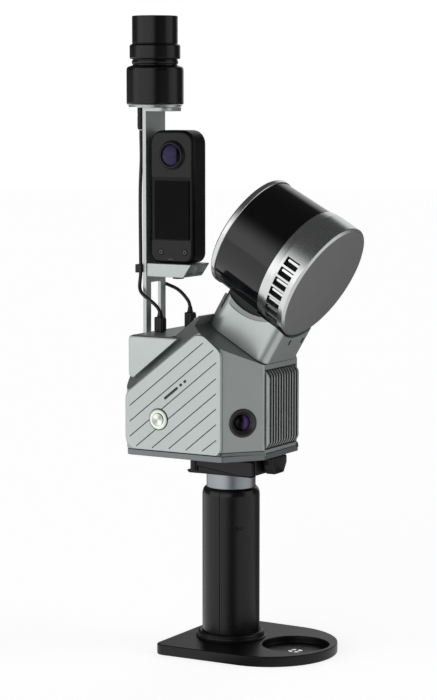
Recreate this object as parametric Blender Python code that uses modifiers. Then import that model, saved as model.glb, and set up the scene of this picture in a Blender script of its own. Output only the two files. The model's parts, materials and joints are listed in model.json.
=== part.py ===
"""Handheld terrestrial laser scanner on its survey base.

Run with: blender --background --python part.py
Metres, +Z up, +X towards the finned front. The origin is the handle's axis at the underside of the base.
"""

import math

import bmesh
import bpy
from mathutils import Matrix, Vector

GAP = 0.0003  # clearance between two pieces that touch
FAR = 0.2  # takes a cutter well past whatever it cuts
LARGE = 64  # facets round the laser unit
SIDES = 48  # facets round a large turned piece
SMALL_RING = 32  # facets round a small one
FEW = 24  # facets round the smallest

# Survey base
BASE_T = 0.0087
BASE_REAR = -0.0404
BASE_REAR_HALF = 0.059
BASE_CORNER_R = 0.0085
NOSE_X = 0.0363
NOSE_R = 0.0572
MARK_X = 0.0614
MARK_R = 0.0278
MARK_FLOOR = 0.0031
MARK_HOLE_R = 0.0055
UNDER_R = 0.0265  # shallow recess under the pocket
UNDER_DEPTH = 0.0021
CROSS_W = 0.0014
COLLAR_R = 0.028
COLLAR_TOP = 0.0143
SCREW_CIRCLE_R = 0.0145
SCREW_R = 0.002
SCREW_TOP = 0.0130
SCREW_HEAD_R = 0.0037
SCREW_HEAD_Z = (0.0008, 0.0034)  # flat and underside of the countersunk head
COUNTERSINK_R = 0.0067  # at half its cone's length below the underside
COUNTERSINK_L = 0.0072

# Handle and neck
HANDLE_R = 0.0240
HANDLE_IN_R = 0.0208
HANDLE_BOTTOM = BASE_T + GAP
HANDLE_TOP = 0.1363
HANDLE_SHOULDER_R = 0.0035
HANDLE_SHOULDER_H = 0.0070
HANDLE_SEAM_TURN = math.radians(6)
CAP_T = 0.006
CELL_R = 0.0091
CELL_L = 0.065
CELL_CIRCLE_R = 0.0113
NECK_R = 0.0205
NECK_IN_R = 0.0165
NECK_BOTTOM = 0.112
NECK_TOP = 0.1492

# Quick release between neck and body
RELEASE_REAR = -0.026
RELEASE_FRONT = 0.0355
RELEASE_HALF = 0.022
RELEASE_TOP = 0.1652
LEVER_T = 0.0042
LEVER_PIVOT_X = -0.0195
LEVER_PIVOT_Y = -0.0262
PIN_R = 0.0015
PIN_CLEARANCE = 0.0001
PIN_MIDDLE_Z = 0.1570
EAR_HALF_X = 0.0040
EAR_REACH = 0.0067
EAR_ROOT = 0.0030  # overlap of an ear and the clamp body
EAR_TOP = 0.1518
UPPER_EAR_BOTTOM = 0.1622
# The lever seen from its side: x from the pivot, and z
LEVER = [(-0.0030, 0.1565), (0.0030, 0.1560), (0.0440, 0.1506), (0.0550, 0.1506), (0.0550, 0.1619), (-0.0030, 0.1619)]
LEVER_CORNERS = [0.0, 0.003, 0.003, 0.001, 0.001, 0.0]
LATCH_T = 0.0085
LATCH_HALF = 0.013
LATCH_TRAVEL_GAP = 0.0020
LATCH_Z = (0.1503, 0.1646)
STEM_BACK = 0.0055  # how far the latch's stem reaches into the clamp body
STEM_HALF = 0.0048
STEM_Z = (0.1536, 0.1614)
GUIDE_BACK = 0.0090
GUIDE_HALF = 0.0052
GUIDE_Z = (0.1532, 0.1618)

# Body, seen from the side: x and z; it is the same on both sides of y = 0
COVER_BOTTOM = 0.1655
COVER_TOP = 0.1700
COVER_REAR = -0.0680
COVER_HALF = 0.0586
BODY_BOTTOM = COVER_TOP + GAP
BODY_REAR = -0.0705
BODY_FRONT = 0.0469
BODY_HALF = 0.0563
FRONT_HALF = 0.0285
CHAMFER_X = 0.0235
RIDGE_X = -0.0050
RIDGE_Z = 0.2820
REAR_SLOPE = 0.80
HUMP_HALF = 0.045
SHOULDER_DROP = 0.0084
SHOULDER_RUN = 0.0085
WALL = 0.003
SIDE_WALL = 0.0115
FRONT_WALL = 0.0110
PANEL_T = 0.0025
PANEL = [(-0.0671, 0.1706), (0.0242, 0.1706), (0.0242, 0.2555), (0.0040, 0.2711), (-0.0671, 0.2160)]
PANEL_R = [0.0100, 0.0060, 0.0100, 0.0105, 0.0090]
# The shoulder runs from the hump's edge, at HUMP_HALF, down to just above the side panel
HUMP_EDGE = [(-0.0800, 0.2220), (-0.0110, 0.2772), (-0.0040, 0.2825), (0.0100, 0.2825)]
SHOULDER_EDGE = [(-0.0800, 0.2066), (-0.0030, 0.2663), (0.0030, 0.2691), (0.0100, 0.2680)]
# Crest on the hump behind the head: x and z
CREST = [(-0.0272, 0.2612), (-0.0272, 0.2645), (-0.0155, 0.2790), (-0.0040, 0.2812), (-0.0040, 0.2798)]
CREST_HALF = 0.0330
POWER_X = -0.0347
POWER_Z = 0.1968
POWER_HOLE_R = 0.0086
POWER_BEZEL = [(0.0062, 0.0008), (0.0080, 0.0004), (0.0083, -0.0026), (0.0062, -0.0026)]
CAP_R = 0.0059
EYE_LEVEL = 0.1966
# Mapping cameras: radius, and height over the chamfer
BEZEL_HOLE_R = 0.0098
BEZEL = [(0.0072, 0.0012), (0.0108, 0.0012), (0.0118, 0.0003), (0.0072, 0.0003)]
LENS = [(0, 0.0016), (0.0040, 0.0009), (0.0068, -0.0006), (0.0068, -0.0085), (0, -0.0085)]

# Main board and its four posts
BOARD_LOW = (-0.0580, -0.0380, 0.1780)
BOARD_HIGH = (0.0200, 0.0380, 0.1796)
POST_W = 0.006
POST_INSET = 0.008

# Heat sink: a block in the front wall whose fins stand proud of it
SINK_BACK = 0.0395
SINK_HALF = 0.0262
SINK_LOW = 0.1735
SINK_HIGH = 0.2385
SINK_PROUD = 0.0032
SLOT_DEPTH = 0.0044  # below the front wall's face
SLOT_END = 0.0015  # solid block left above and below a slot
SLOT_W = 0.0022
SLOT_PITCH = 0.00443
FIRST_SLOT_Y = -0.02215
SLOTS = 11

# Turntable frame: its Z leans forward by TILT and its origin lies on the pad that the head turns on
TILT = math.radians(30.7)
PAD_FRONT_Z = 0.2430
HEAD_HALF_X = 0.0305
HEAD_HALF_Y = 0.0300
HEAD_TOP = 0.0330
HEAD_REAR = -0.0355
HEAD_CORNER_R = 0.009
HEAD_REAR_R = 0.018
SWING_R = 0.0398  # clears the head's corners as it turns
SWING_LIFT = 0.0002
PAD_CENTRE = Vector((
    BODY_FRONT - HEAD_HALF_X * math.cos(TILT),
    0,
    PAD_FRONT_Z + HEAD_HALF_X * math.sin(TILT),
))
HEAD_LOW = 0.0005  # underside of the head over the pad
DIP_R = 0.0420  # round hollow in the top edge of each side
DIP_X = -0.0090
DIP_Z = 0.0705
SEAT_BOTTOM = 0.0183
SEAT_TOP = 0.0450
SEAT_REAR = -0.0285
SEAT_FRONT = 0.0270
SEAT_HALF = 0.0272
SHAFT_R = 0.006
SHAFT_CLEARANCE = 0.0001
SHAFT_HOLE_R = 0.0072  # in the pad
SHAFT_L = 0.048
MOTOR_R = 0.021
MOTOR_TOP = -0.0058
MOTOR_BOTTOM = -0.036

# Laser unit: its axis lies along the turntable frame's X
LASER_R = 0.0515
LASER_AXIS_H = 0.0772
LASER_FRONT = 0.0298
LASER_LENGTH = 0.0790
BAND_L = 0.0270
WINDOW_R = 0.0500
WINDOW_REAR_R = 0.0484
WINDOW_T = 0.0025
TOP_RING_L = 0.0045
DISC_PROUD = 0.0013
BAND_TAPER_FROM = -0.0200
BAND_LIP = 0.0006
SPINDLE_R = 0.0050
SPINDLE_L = 0.0120
ROTOR_R = 0.0400
LASER_SEAT_R = LASER_R + GAP

# Mast, antenna and leads
MAST_X = -0.0745
MAST_T = 0.0032
MAST_HALF = 0.0157
MAST_BOTTOM = 0.2360
MAST_TOP = 0.4500
TONGUE_FRONT = -0.0530
TONGUE_R = 0.0100
WINDOW_HALF = 0.0077
WINDOW_BOTTOM = 0.2440
WINDOW_TOP = 0.3040
ANTENNA_X = -0.0733
ANTENNA_BOTTOM = MAST_TOP + GAP
ANTENNA_RING_R = 0.0225
ANTENNA_RING_T = 0.0018
RADOME_IN_R = 0.0168
RADOME_IN_TOP = 0.5227
CORE_R = 0.0125
CORE_L = 0.062
LEAD_R = 0.0015
# Each antenna lead runs down behind the mast, through the clip and forward into its plug
LEAD_ROUTES = {
    "right": [
        (-0.0795, -0.0125, 0.4312),
        (-0.0795, -0.0126, 0.4270),
        (-0.0786, -0.0136, 0.4080),
        (-0.0788, -0.0150, 0.3850),
        (-0.0788, -0.0153, 0.3600),
        (-0.0786, -0.0153, 0.3300),
        (-0.0786, -0.0153, 0.3120),
        (-0.0788, -0.0168, 0.3010),
        (-0.0755, -0.0194, 0.2960),
        (-0.0690, -0.0205, 0.2918),
        (-0.0608, -0.0222, 0.2872),
        (-0.0552, -0.0242, 0.2832),
        (-0.0537, -0.0250, 0.2805),
        (-0.0537, -0.0250, 0.2782),
    ],
    "left": [
        (-0.0795, 0.0125, 0.4312),
        (-0.0795, 0.0126, 0.4270),
        (-0.0786, 0.0136, 0.4080),
        (-0.0788, 0.0150, 0.3850),
        (-0.0788, 0.0153, 0.3600),
        (-0.0786, 0.0153, 0.3300),
        (-0.0786, 0.0153, 0.3120),
        (-0.0786, 0.0178, 0.3030),
        (-0.0740, 0.0199, 0.3003),
        (-0.0640, 0.0203, 0.2965),
        (-0.0565, 0.0201, 0.2907),
        (-0.0520, 0.0200, 0.2850),
        (-0.0515, 0.0200, 0.2815),
        (-0.0515, 0.0200, 0.2785),
    ],
}
CLIP_BACK = -0.0822
CLIP_HALF = 0.0185
CLIP_LOW = 0.3125
CLIP_HIGH = 0.3195
CLIP_SLOT = (-0.0786, 0.0153)  # x and y of the lead that it holds on each side
PLUG_HALF_X = 0.0042
PLUG_HALF_Y = 0.0040
SOCKET_R = 0.0030

# Rear housing
REAR_TOP = 0.2645
REAR_BACK = -0.0660
REAR_FRONT = -0.0165
REAR_BOTTOM = 0.2290
REAR_HALF = 0.0571
MAST_FOOT_HALF = 0.0177  # the pad on its back that the mast is fixed to
MAST_FOOT_TOP = 0.2610

# Panoramic camera and its tray
TRAY_TOP = 0.3206
TRAY_BOTTOM = 0.3095
TRAY_HALF = 0.0154
TRAY_FRONT = -0.0294
TRAY_RAKE = 0.0076  # how far the front end slopes back
TRAY_DECK = 0.0040
STUD_R = 0.0030
STUD_REACH = 0.0060  # into the camera
CAMERA_X = -0.0498
CAMERA_Y = -0.0020
CAMERA_W = 0.0424
CAMERA_D = 0.0224
CAMERA_BOTTOM = TRAY_TOP + GAP
CAMERA_TOP = 0.4313
CAMERA_CORNER_R = 0.0085
EYE_X = -0.0489
EYE_R = 0.0122
EYE_Z = 0.4108
CAMERA_BUTTON_R = 0.0023
CAMERA_BUTTON_Z = 0.3305
CAMERA_BUTTON_X = {"camera_shutter_button": -0.0600, "camera_power_button": -0.0368}
SCREEN_LOW = (-0.0655, 0.3410)
SCREEN_HIGH = (-0.0325, 0.3895)
KNOB_R = 0.0048
KNOB_BOTTOM = 0.3075

for old in list(bpy.data.objects):
    bpy.data.objects.remove(old, do_unlink=True)

scanner = bpy.data.collections.new("terrestrial_laser_scanner")
cutters = bpy.data.collections.new("cutters")
bpy.context.scene.collection.children.link(scanner)
bpy.context.scene.collection.children.link(cutters)
cutters.hide_render = True


def material(name, colour, roughness, metallic=0.0, alpha=1.0):
    made = bpy.data.materials.new(name)
    made.use_nodes = True
    shader = made.node_tree.nodes["Principled BSDF"]
    shader.inputs["Base Color"].default_value = (*colour, 1)
    shader.inputs["Roughness"].default_value = roughness
    shader.inputs["Metallic"].default_value = metallic
    shader.inputs["Alpha"].default_value = alpha
    return made


LIGHT_SHELL = material("light_shell", (0.50, 0.53, 0.53), 0.45, 0.3)
GREY_SHELL = material("grey_shell", (0.22, 0.24, 0.24), 0.4, 0.4)
BLACK_METAL = material("black_metal", (0.02, 0.02, 0.02), 0.45, 0.3)
BLACK_PLASTIC = material("black_plastic", (0.015, 0.015, 0.016), 0.5)
DARK_GLASS = material("dark_glass", (0.01, 0.01, 0.012), 0.08)
LENS_GLASS = material("lens_glass", (0.05, 0.03, 0.12), 0.05)
STEEL = material("steel", (0.55, 0.57, 0.58), 0.3, 1.0)
LASER_METAL = material("laser_metal", (0.30, 0.31, 0.31), 0.35, 0.8)
BOARD_GREEN = material("board_green", (0.02, 0.10, 0.05), 0.5)
CELL_BLUE = material("cell_blue", (0.05, 0.12, 0.30), 0.45)


def keep(obj, name, made_of, parent=None):
    """Names a finished piece, colours it and files it with the scanner."""
    obj.name = name
    obj.data.name = name
    obj.data.materials.clear()
    obj.data.materials.append(made_of)
    for home in list(obj.users_collection):
        home.objects.unlink(obj)
    scanner.objects.link(obj)
    if parent:
        obj.parent = parent
    return obj


def from_bmesh(mesh_builder, location=(0, 0, 0), rotation=(0, 0, 0)):
    mesh = bpy.data.meshes.new("shape")
    work = bmesh.new()
    mesh_builder(work)
    work.to_mesh(mesh)
    work.free()
    obj = bpy.data.objects.new("shape", mesh)
    obj.location = location
    obj.rotation_euler = rotation
    scanner.objects.link(obj)
    return obj


def box(low, high, bevel=0.0, segments=2):
    """A block between two corners, given in its parent's frame."""
    low = Vector(low)
    high = Vector(high)
    middle = (low + high) / 2

    def build(work):
        bmesh.ops.create_cube(work, size=1, matrix=Matrix.Diagonal((*(high - low), 1)))

    obj = from_bmesh(build, middle)
    if bevel:
        round_off(obj, bevel, segments)
    return obj


def rod(radius, length, centre, axis="Z", sides=FEW, tip_radius=None):
    """A cylinder or cone; tip_radius is the end towards plus axis."""
    turn = {"X": (0, math.pi / 2, 0), "Y": (-math.pi / 2, 0, 0), "Z": (0, 0, 0)}[axis]
    far = radius if tip_radius is None else tip_radius

    def build(work):
        bmesh.ops.create_cone(
            work, cap_ends=True, segments=sides, radius1=radius, radius2=far, depth=length
        )

    return from_bmesh(build, centre, turn)


def round_off(obj, width, segments=2):
    bevel = obj.modifiers.new("rounded edges", "BEVEL")
    bevel.width = width
    bevel.segments = segments
    bevel.limit_method = "ANGLE"
    bevel.angle_limit = math.radians(40)


def arc(centre_x, centre_y, radius, start, end, steps=8):
    """Points on an arc; the angles are in degrees."""
    angles = [math.radians(start + (end - start) * i / steps) for i in range(steps + 1)]
    return [(centre_x + radius * math.cos(a), centre_y + radius * math.sin(a)) for a in angles]


def rounded(corners, radii, steps=5):
    """An outline with each corner rounded; radii is one number or one for each corner."""
    count = len(corners)
    if not isinstance(radii, (list, tuple)):
        radii = [radii] * count
    outline = []
    for i, radius in enumerate(radii):
        here = Vector(corners[i])
        before = (Vector(corners[i - 1]) - here).normalized()
        after = (Vector(corners[(i + 1) % count]) - here).normalized()
        if radius == 0:
            outline.append(tuple(here))
            continue
        half = before.angle(after) / 2
        reach = radius / math.tan(half)
        start = here + before * reach
        end = here + after * reach
        centre = here + (before + after).normalized() * radius / math.sin(half)
        first = start - centre
        swing = first.angle_signed(end - centre)
        for k in range(steps + 1):
            turned_by = Matrix.Rotation(-swing * k / steps, 2)
            outline.append(tuple(centre + turned_by @ first))
    return outline


def flat(outline, thickness, centre=(0, 0, 0), rotation=(0, 0, 0), holes=()):
    """A plate: a filled 2D curve, extruded half its thickness each way, and made a mesh."""
    curve = bpy.data.curves.new("outline", "CURVE")
    curve.dimensions = "2D"
    curve.fill_mode = "BOTH"
    curve.extrude = thickness / 2
    for loop in (outline, *holes):
        spline = curve.splines.new("POLY")
        spline.points.add(len(loop) - 1)
        for point, (x, y) in zip(spline.points, loop):
            point.co = (x, y, 0, 1)
        spline.use_cyclic_u = True
    drawn = bpy.data.objects.new("outline", curve)
    scanner.objects.link(drawn)
    mesh = bpy.data.meshes.new_from_object(drawn)
    bpy.data.objects.remove(drawn, do_unlink=True)
    work = bmesh.new()
    work.from_mesh(mesh)
    bmesh.ops.remove_doubles(work, verts=work.verts, dist=1e-6)
    bmesh.ops.recalc_face_normals(work, faces=work.faces)
    work.to_mesh(mesh)
    work.free()
    obj = bpy.data.objects.new("plate", mesh)
    obj.location = centre
    obj.rotation_euler = rotation
    scanner.objects.link(obj)
    return obj


UPRIGHT = (math.pi / 2, 0, 0)  # turns a plate's outline from x and y into x and z


def turned(profile, sides=SIDES, ring=False):
    """A turned piece; the profile is (radius, height) from the top down its outer side."""
    mesh = bpy.data.meshes.new("profile")
    work = bmesh.new()
    points = [work.verts.new((radius, 0, height)) for radius, height in profile]
    for first, second in zip(points, points[1:]):
        work.edges.new((first, second))
    if ring:
        work.edges.new((points[-1], points[0]))
    work.to_mesh(mesh)
    work.free()
    obj = bpy.data.objects.new("turned", mesh)
    scanner.objects.link(obj)
    screw = obj.modifiers.new("turn", "SCREW")
    screw.steps = sides
    screw.render_steps = sides
    screw.use_merge_vertices = True
    screw.merge_threshold = 1e-6
    screw.use_smooth_shade = False
    return obj


def boolean(obj, other, operation="DIFFERENCE"):
    """Cuts other out of obj, or keeps or adds their common part, and hides other."""
    change = obj.modifiers.new(operation.lower(), "BOOLEAN")
    change.operation = operation
    change.solver = "EXACT"
    change.object = other
    other.hide_render = True
    other.display_type = "WIRE"
    for home in list(other.users_collection):
        home.objects.unlink(other)
    cutters.objects.link(other)
    return obj


def frame_empty(name, location, rotation=(0, 0, 0), parent=None):
    empty = bpy.data.objects.new(name, None)
    empty.location = location
    empty.rotation_euler = rotation
    empty.parent = parent
    scanner.objects.link(empty)
    return empty


def lead(points, radius=LEAD_R, step=0.004):
    """A flexible lead: a poly spline along a smooth curve through its own points."""
    route = [Vector(p) for p in points]
    ends = [route[0] * 2 - route[1], *route, route[-1] * 2 - route[-2]]
    smooth = []
    for before, start, end, after in zip(ends, ends[1:], ends[2:], ends[3:]):
        pieces = max(1, round((end - start).length / step))
        for k in range(pieces):
            t = k / pieces
            smooth.append(
                0.5
                * (
                    2 * start
                    + (end - before) * t
                    + (2 * before - 5 * start + 4 * end - after) * t * t
                    + (3 * start - before - 3 * end + after) * t**3
                )
            )
    smooth.append(route[-1])
    curve = bpy.data.curves.new("lead", "CURVE")
    curve.dimensions = "3D"
    curve.bevel_depth = radius
    curve.bevel_resolution = 2
    curve.use_fill_caps = True
    spline = curve.splines.new("POLY")
    spline.points.add(len(smooth) - 1)
    for point, place in zip(spline.points, smooth):
        point.co = (*place, 1)
    obj = bpy.data.objects.new("lead", curve)
    scanner.objects.link(obj)
    return obj


# Survey base


def base_plate():
    """D-shaped foot with a pocket over the survey mark, and a cross left in the hole at its centre."""
    corner_x = BASE_REAR + BASE_CORNER_R
    corner_y = BASE_REAR_HALF - BASE_CORNER_R
    outline = [
        *arc(corner_x, -corner_y, BASE_CORNER_R, 180, 270, 6),
        *arc(NOSE_X, 0, NOSE_R, -88, 88, 36),
        *arc(corner_x, corner_y, BASE_CORNER_R, 90, 180, 6),
    ]
    plate = flat(outline, BASE_T, (0, 0, BASE_T / 2))
    boolean(plate, rod(MARK_R, BASE_T, (MARK_X, 0, MARK_FLOOR + BASE_T / 2), sides=SIDES))
    boolean(plate, rod(UNDER_R, UNDER_DEPTH * 2, (MARK_X, 0, 0), sides=SIDES))
    for turn in range(4):
        quarter = [(CROSS_W / 2, CROSS_W / 2), *arc(0, 0, MARK_HOLE_R, 8, 82, 6)]
        cutter = flat(quarter, BASE_T * 2, (MARK_X, 0, 0), (0, 0, math.pi / 2 * turn))
        boolean(plate, cutter)
    for x, y in screw_places():
        boolean(plate, rod(SCREW_R + GAP, BASE_T * 3, (x, y, 0), sides=FEW))
        boolean(plate, rod(COUNTERSINK_R, COUNTERSINK_L, (x, y, 0), tip_radius=SCREW_R + GAP))
    return keep(plate, "base_plate", BLACK_METAL)


def screw_places():
    return [
        (SCREW_CIRCLE_R * math.cos(a), SCREW_CIRCLE_R * math.sin(a))
        for a in (math.radians(60 + 120 * i) for i in range(3))
    ]


def base_screws():
    for number, (x, y) in enumerate(screw_places(), 1):
        flat_z, cone_top = SCREW_HEAD_Z
        profile = [(0, SCREW_TOP), (SCREW_R, SCREW_TOP), (SCREW_R, cone_top), (SCREW_HEAD_R, flat_z), (0, flat_z)]
        screw = turned(profile, FEW)
        screw.location = (x, y, 0)
        keep(screw, f"base_screw_{number}", STEEL)


def base_collar():
    inner = HANDLE_R + GAP
    bottom = BASE_T + GAP
    profile = [
        (inner, COLLAR_TOP),
        (COLLAR_R - 0.0022, COLLAR_TOP),
        (COLLAR_R - 0.0006, COLLAR_TOP - 0.0009),
        (COLLAR_R, COLLAR_TOP - 0.0024),
        (COLLAR_R, bottom),
        (inner, bottom),
    ]
    return keep(turned(profile, ring=True), "base_collar", BLACK_METAL)


# Handle


def handle():
    """Two half shells round the neck tube, the end cap and three cells."""
    shoulder = [
        (HANDLE_R - HANDLE_SHOULDER_R + dx, HANDLE_TOP - HANDLE_SHOULDER_H + dz * HANDLE_SHOULDER_H / HANDLE_SHOULDER_R)
        for dx, dz in arc(0, 0, HANDLE_SHOULDER_R, 90, 0, 5)
    ]
    wall = [
        (HANDLE_IN_R, HANDLE_TOP - GAP),
        *shoulder,
        (HANDLE_R, HANDLE_BOTTOM),
        (HANDLE_IN_R, HANDLE_BOTTOM),
    ]
    for name, side in (("handle_shell_front", 1), ("handle_shell_rear", -1)):
        shell = turned(wall, ring=True)
        shell.rotation_euler = (0, 0, HANDLE_SEAM_TURN)
        half = box((GAP / 2, -FAR, -FAR), (FAR, FAR, FAR))
        half.rotation_euler = (0, 0, HANDLE_SEAM_TURN + (math.pi if side < 0 else 0))
        half.location = half.rotation_euler.to_matrix() @ half.location
        boolean(shell, half, "INTERSECT")
        keep(shell, name, BLACK_PLASTIC)


def handle_end_cap():
    bottom = HANDLE_BOTTOM
    cap = rod(HANDLE_IN_R - GAP, CAP_T, (0, 0, bottom + CAP_T / 2), sides=SIDES)
    for x, y in screw_places():
        boolean(cap, rod(SCREW_R + GAP, CAP_T * 3, (x, y, bottom), sides=FEW))
    return keep(cap, "handle_end_cap", BLACK_METAL)


def battery_cells():
    bottom = HANDLE_BOTTOM + CAP_T + GAP
    for number in range(3):
        angle = math.radians(120 * number)
        place = (CELL_CIRCLE_R * math.cos(angle), CELL_CIRCLE_R * math.sin(angle), bottom + CELL_L / 2)
        keep(rod(CELL_R, CELL_L, place, sides=32), f"battery_cell_{number + 1}", CELL_BLUE)


def neck_tube():
    profile = [(NECK_IN_R, NECK_TOP), (NECK_R, NECK_TOP), (NECK_R, NECK_BOTTOM), (NECK_IN_R, NECK_BOTTOM)]
    return keep(turned(profile, ring=True), "neck_tube", STEEL)


# Quick release


def quick_release():
    """Clamp body on the neck, with a side lever on an upright pin and a push latch at the front."""
    low = (RELEASE_REAR, -RELEASE_HALF, NECK_TOP + GAP)
    body = box(low, (RELEASE_FRONT, RELEASE_HALF, RELEASE_TOP), 0.0025)
    keep(body, "quick_release_body", BLACK_METAL)
    ear_low = (LEVER_PIVOT_X - EAR_HALF_X, -RELEASE_HALF - EAR_REACH)
    ear_high = (LEVER_PIVOT_X + EAR_HALF_X, -RELEASE_HALF + EAR_ROOT)
    for z_low, z_high in ((NECK_TOP + GAP, EAR_TOP), (UPPER_EAR_BOTTOM, RELEASE_TOP)):
        boolean(body, box((*ear_low, z_low), (*ear_high, z_high)), "UNION")
    boolean(body, rod(PIN_R + PIN_CLEARANCE, FAR, (LEVER_PIVOT_X, LEVER_PIVOT_Y, PIN_MIDDLE_Z)))
    guide = box((RELEASE_FRONT - GUIDE_BACK, -GUIDE_HALF, GUIDE_Z[0]), (FAR, GUIDE_HALF, GUIDE_Z[1]))
    boolean(body, guide)

    pivot = frame_empty("release_lever_axis", (LEVER_PIVOT_X, LEVER_PIVOT_Y, 0))
    lever = flat(rounded(LEVER, LEVER_CORNERS), LEVER_T, (0, 0, 0), UPRIGHT)
    boolean(lever, rod(PIN_R + PIN_CLEARANCE, FAR, (0, 0, PIN_MIDDLE_Z)))
    for change in lever.modifiers:
        change.object.parent = pivot
    keep(lever, "quick_release_lever", BLACK_METAL, pivot)
    pin_low, pin_high = NECK_TOP + 2 * GAP, RELEASE_TOP - GAP
    pin = rod(PIN_R, pin_high - pin_low, (LEVER_PIVOT_X, LEVER_PIVOT_Y, (pin_low + pin_high) / 2))
    keep(pin, "quick_release_pin", STEEL)

    front = RELEASE_FRONT + LATCH_TRAVEL_GAP
    latch = box((front, -LATCH_HALF, LATCH_Z[0]), (front + LATCH_T, LATCH_HALF, LATCH_Z[1]), 0.0022)
    stem = box((RELEASE_FRONT - STEM_BACK, -STEM_HALF, STEM_Z[0]), (front + LATCH_T / 4, STEM_HALF, STEM_Z[1]))
    boolean(latch, stem, "UNION")
    keep(latch, "quick_release_latch", BLACK_PLASTIC)


# Body


def plan(half, front_half, rear, front, chamfer_x, rear_r):
    """The body's outline from above: round rear corners and a wide chamfer at each front corner."""
    corners = [
        (rear, -half),
        (chamfer_x, -half),
        (front, -front_half),
        (front, front_half),
        (chamfer_x, half),
        (rear, half),
    ]
    return rounded(corners, [rear_r, 0.003, 0.003, 0.003, 0.003, rear_r], 4)


def bottom_cover():
    outline = plan(COVER_HALF, FRONT_HALF + 0.0008, COVER_REAR, BODY_FRONT + 0.0006, CHAMFER_X + 0.0015, 0.007)
    cover = flat(outline, COVER_TOP - COVER_BOTTOM, (0, 0, (COVER_TOP + COVER_BOTTOM) / 2))
    round_off(cover, 0.0008, 1)
    return keep(cover, "bottom_cover", GREY_SHELL)


def pad_z(x):
    """Height of the tilted pad that the head turns on."""
    return PAD_FRONT_Z + (BODY_FRONT - x) * math.tan(TILT)


def side_outline(inset=0.0):
    """The body's outline from the side, moved inwards by inset."""
    notch_x = PAD_CENTRE.x - (HEAD_HALF_X + 0.0012) * math.cos(TILT)
    wall_top_x = notch_x + (RIDGE_Z - pad_z(notch_x)) * math.tan(TILT)
    slope_drop = inset * math.hypot(1, REAR_SLOPE)
    pad_drop = inset / math.cos(TILT)
    rear = BODY_REAR + inset
    front = BODY_FRONT - inset
    rear_z = RIDGE_Z - (RIDGE_X - rear) * REAR_SLOPE - slope_drop
    if inset:
        meet = (RIDGE_Z - RIDGE_X * REAR_SLOPE - slope_drop - pad_z(0) + pad_drop) / (
            -REAR_SLOPE - math.tan(TILT)
        )
        top = [(meet, pad_z(meet) - pad_drop)]
    else:
        top = [(notch_x, pad_z(notch_x)), (wall_top_x, RIDGE_Z), (RIDGE_X, RIDGE_Z)]
    return [(rear, BODY_BOTTOM - inset), (front, BODY_BOTTOM - inset), (front, pad_z(front) - pad_drop), *top, (rear, rear_z)]


def shoulder_cutter(side):
    """Removes the sloping shoulder between the hump and the top of a side panel."""

    def fill(work):
        rows = []
        for (hump_x, hump_z), (edge_x, edge_z) in zip(HUMP_EDGE, SHOULDER_EDGE):
            section = [
                (hump_x, HUMP_HALF, 0.31),
                (hump_x, HUMP_HALF, hump_z),
                (edge_x, BODY_HALF + GAP, edge_z),
                (edge_x, 0.08, edge_z),
                (edge_x, 0.08, 0.31),
            ]
            rows.append([work.verts.new((x, side * y, z)) for x, y, z in section])
        for start, end in zip(rows, rows[1:]):
            for i, here in enumerate(start):
                j = (i + 1) % len(start)
                work.faces.new((here, start[j], end[j]))
                work.faces.new((here, end[j], end[i]))
        work.faces.new(rows[0])
        work.faces.new(rows[-1])
        bmesh.ops.recalc_face_normals(work, faces=work.faces)

    return from_bmesh(fill)


def main_housing():
    height = FAR
    shell = flat(side_outline(), BODY_HALF * 2, (0, 0, 0), UPRIGHT)
    outside = plan(BODY_HALF, FRONT_HALF, BODY_REAR, BODY_FRONT, CHAMFER_X, 0.008)
    boolean(shell, flat(outside, height, (0, 0, BODY_BOTTOM + height / 2 - 0.01)), "INTERSECT")
    for side in (1, -1):
        boolean(shell, shoulder_cutter(side))
    crest = flat(CREST, CREST_HALF * 2, (0, 0, 0), UPRIGHT)
    round_off(crest, 0.0015)
    boolean(shell, crest, "UNION")
    hollow = flat(side_outline(WALL * 1.6), (BODY_HALF - WALL) * 2, (0, 0, 0), UPRIGHT)
    inside = plan(
        BODY_HALF - SIDE_WALL, FRONT_HALF - 0.004, BODY_REAR + WALL, BODY_FRONT - FRONT_WALL, CHAMFER_X - 0.006, 0.006
    )
    boolean(hollow, flat(inside, height, (0, 0, BODY_BOTTOM + height / 2 - 0.02)), "INTERSECT")
    boolean(shell, hollow)
    turn = Matrix.Rotation(TILT, 3, "Y")
    bore = rod(SHAFT_HOLE_R, 0.02, PAD_CENTRE)
    bore.rotation_euler = turn.to_euler()
    boolean(shell, bore)
    swing = rod(SWING_R, 0.06, PAD_CENTRE + turn @ Vector((0, 0, SWING_LIFT + 0.03)), sides=96)
    swing.rotation_euler = turn.to_euler()
    boolean(shell, swing)
    for side in (1, -1):
        boolean(shell, eye_place(side, -0.010, rod(BEZEL_HOLE_R, 0.04, (0, 0, 0))))
    boolean(shell, box((SINK_BACK - GAP, -SINK_HALF - GAP, SINK_LOW - GAP), (FAR, SINK_HALF + GAP, SINK_HIGH + GAP)))
    boolean(shell, rod(CAP_R + 0.0005, 0.05, (POWER_X, -BODY_HALF, POWER_Z), "Y"))
    return keep(shell, "main_housing", GREY_SHELL)


def chamfer_normal(side):
    """Outward direction of a front corner's chamfer; side is -1 or 1 for its y."""
    run = Vector((BODY_FRONT - CHAMFER_X, -side * (BODY_HALF - FRONT_HALF), 0)).normalized()
    return Vector((abs(run.y), side * abs(run.x), 0))


def chamfer_point(side):
    """The middle of a front corner's chamfer at the mapping camera's height."""
    return Vector(((BODY_FRONT + CHAMFER_X) / 2, side * (BODY_HALF + FRONT_HALF) / 2, EYE_LEVEL))


def eye_place(side, offset, obj):
    """Moves a piece whose axis is Z onto the chamfer, offset outwards from its face."""
    normal = chamfer_normal(side)
    obj.rotation_euler = normal.to_track_quat("Z", "Y").to_euler()
    obj.location = chamfer_point(side) + normal * offset
    return obj


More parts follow.
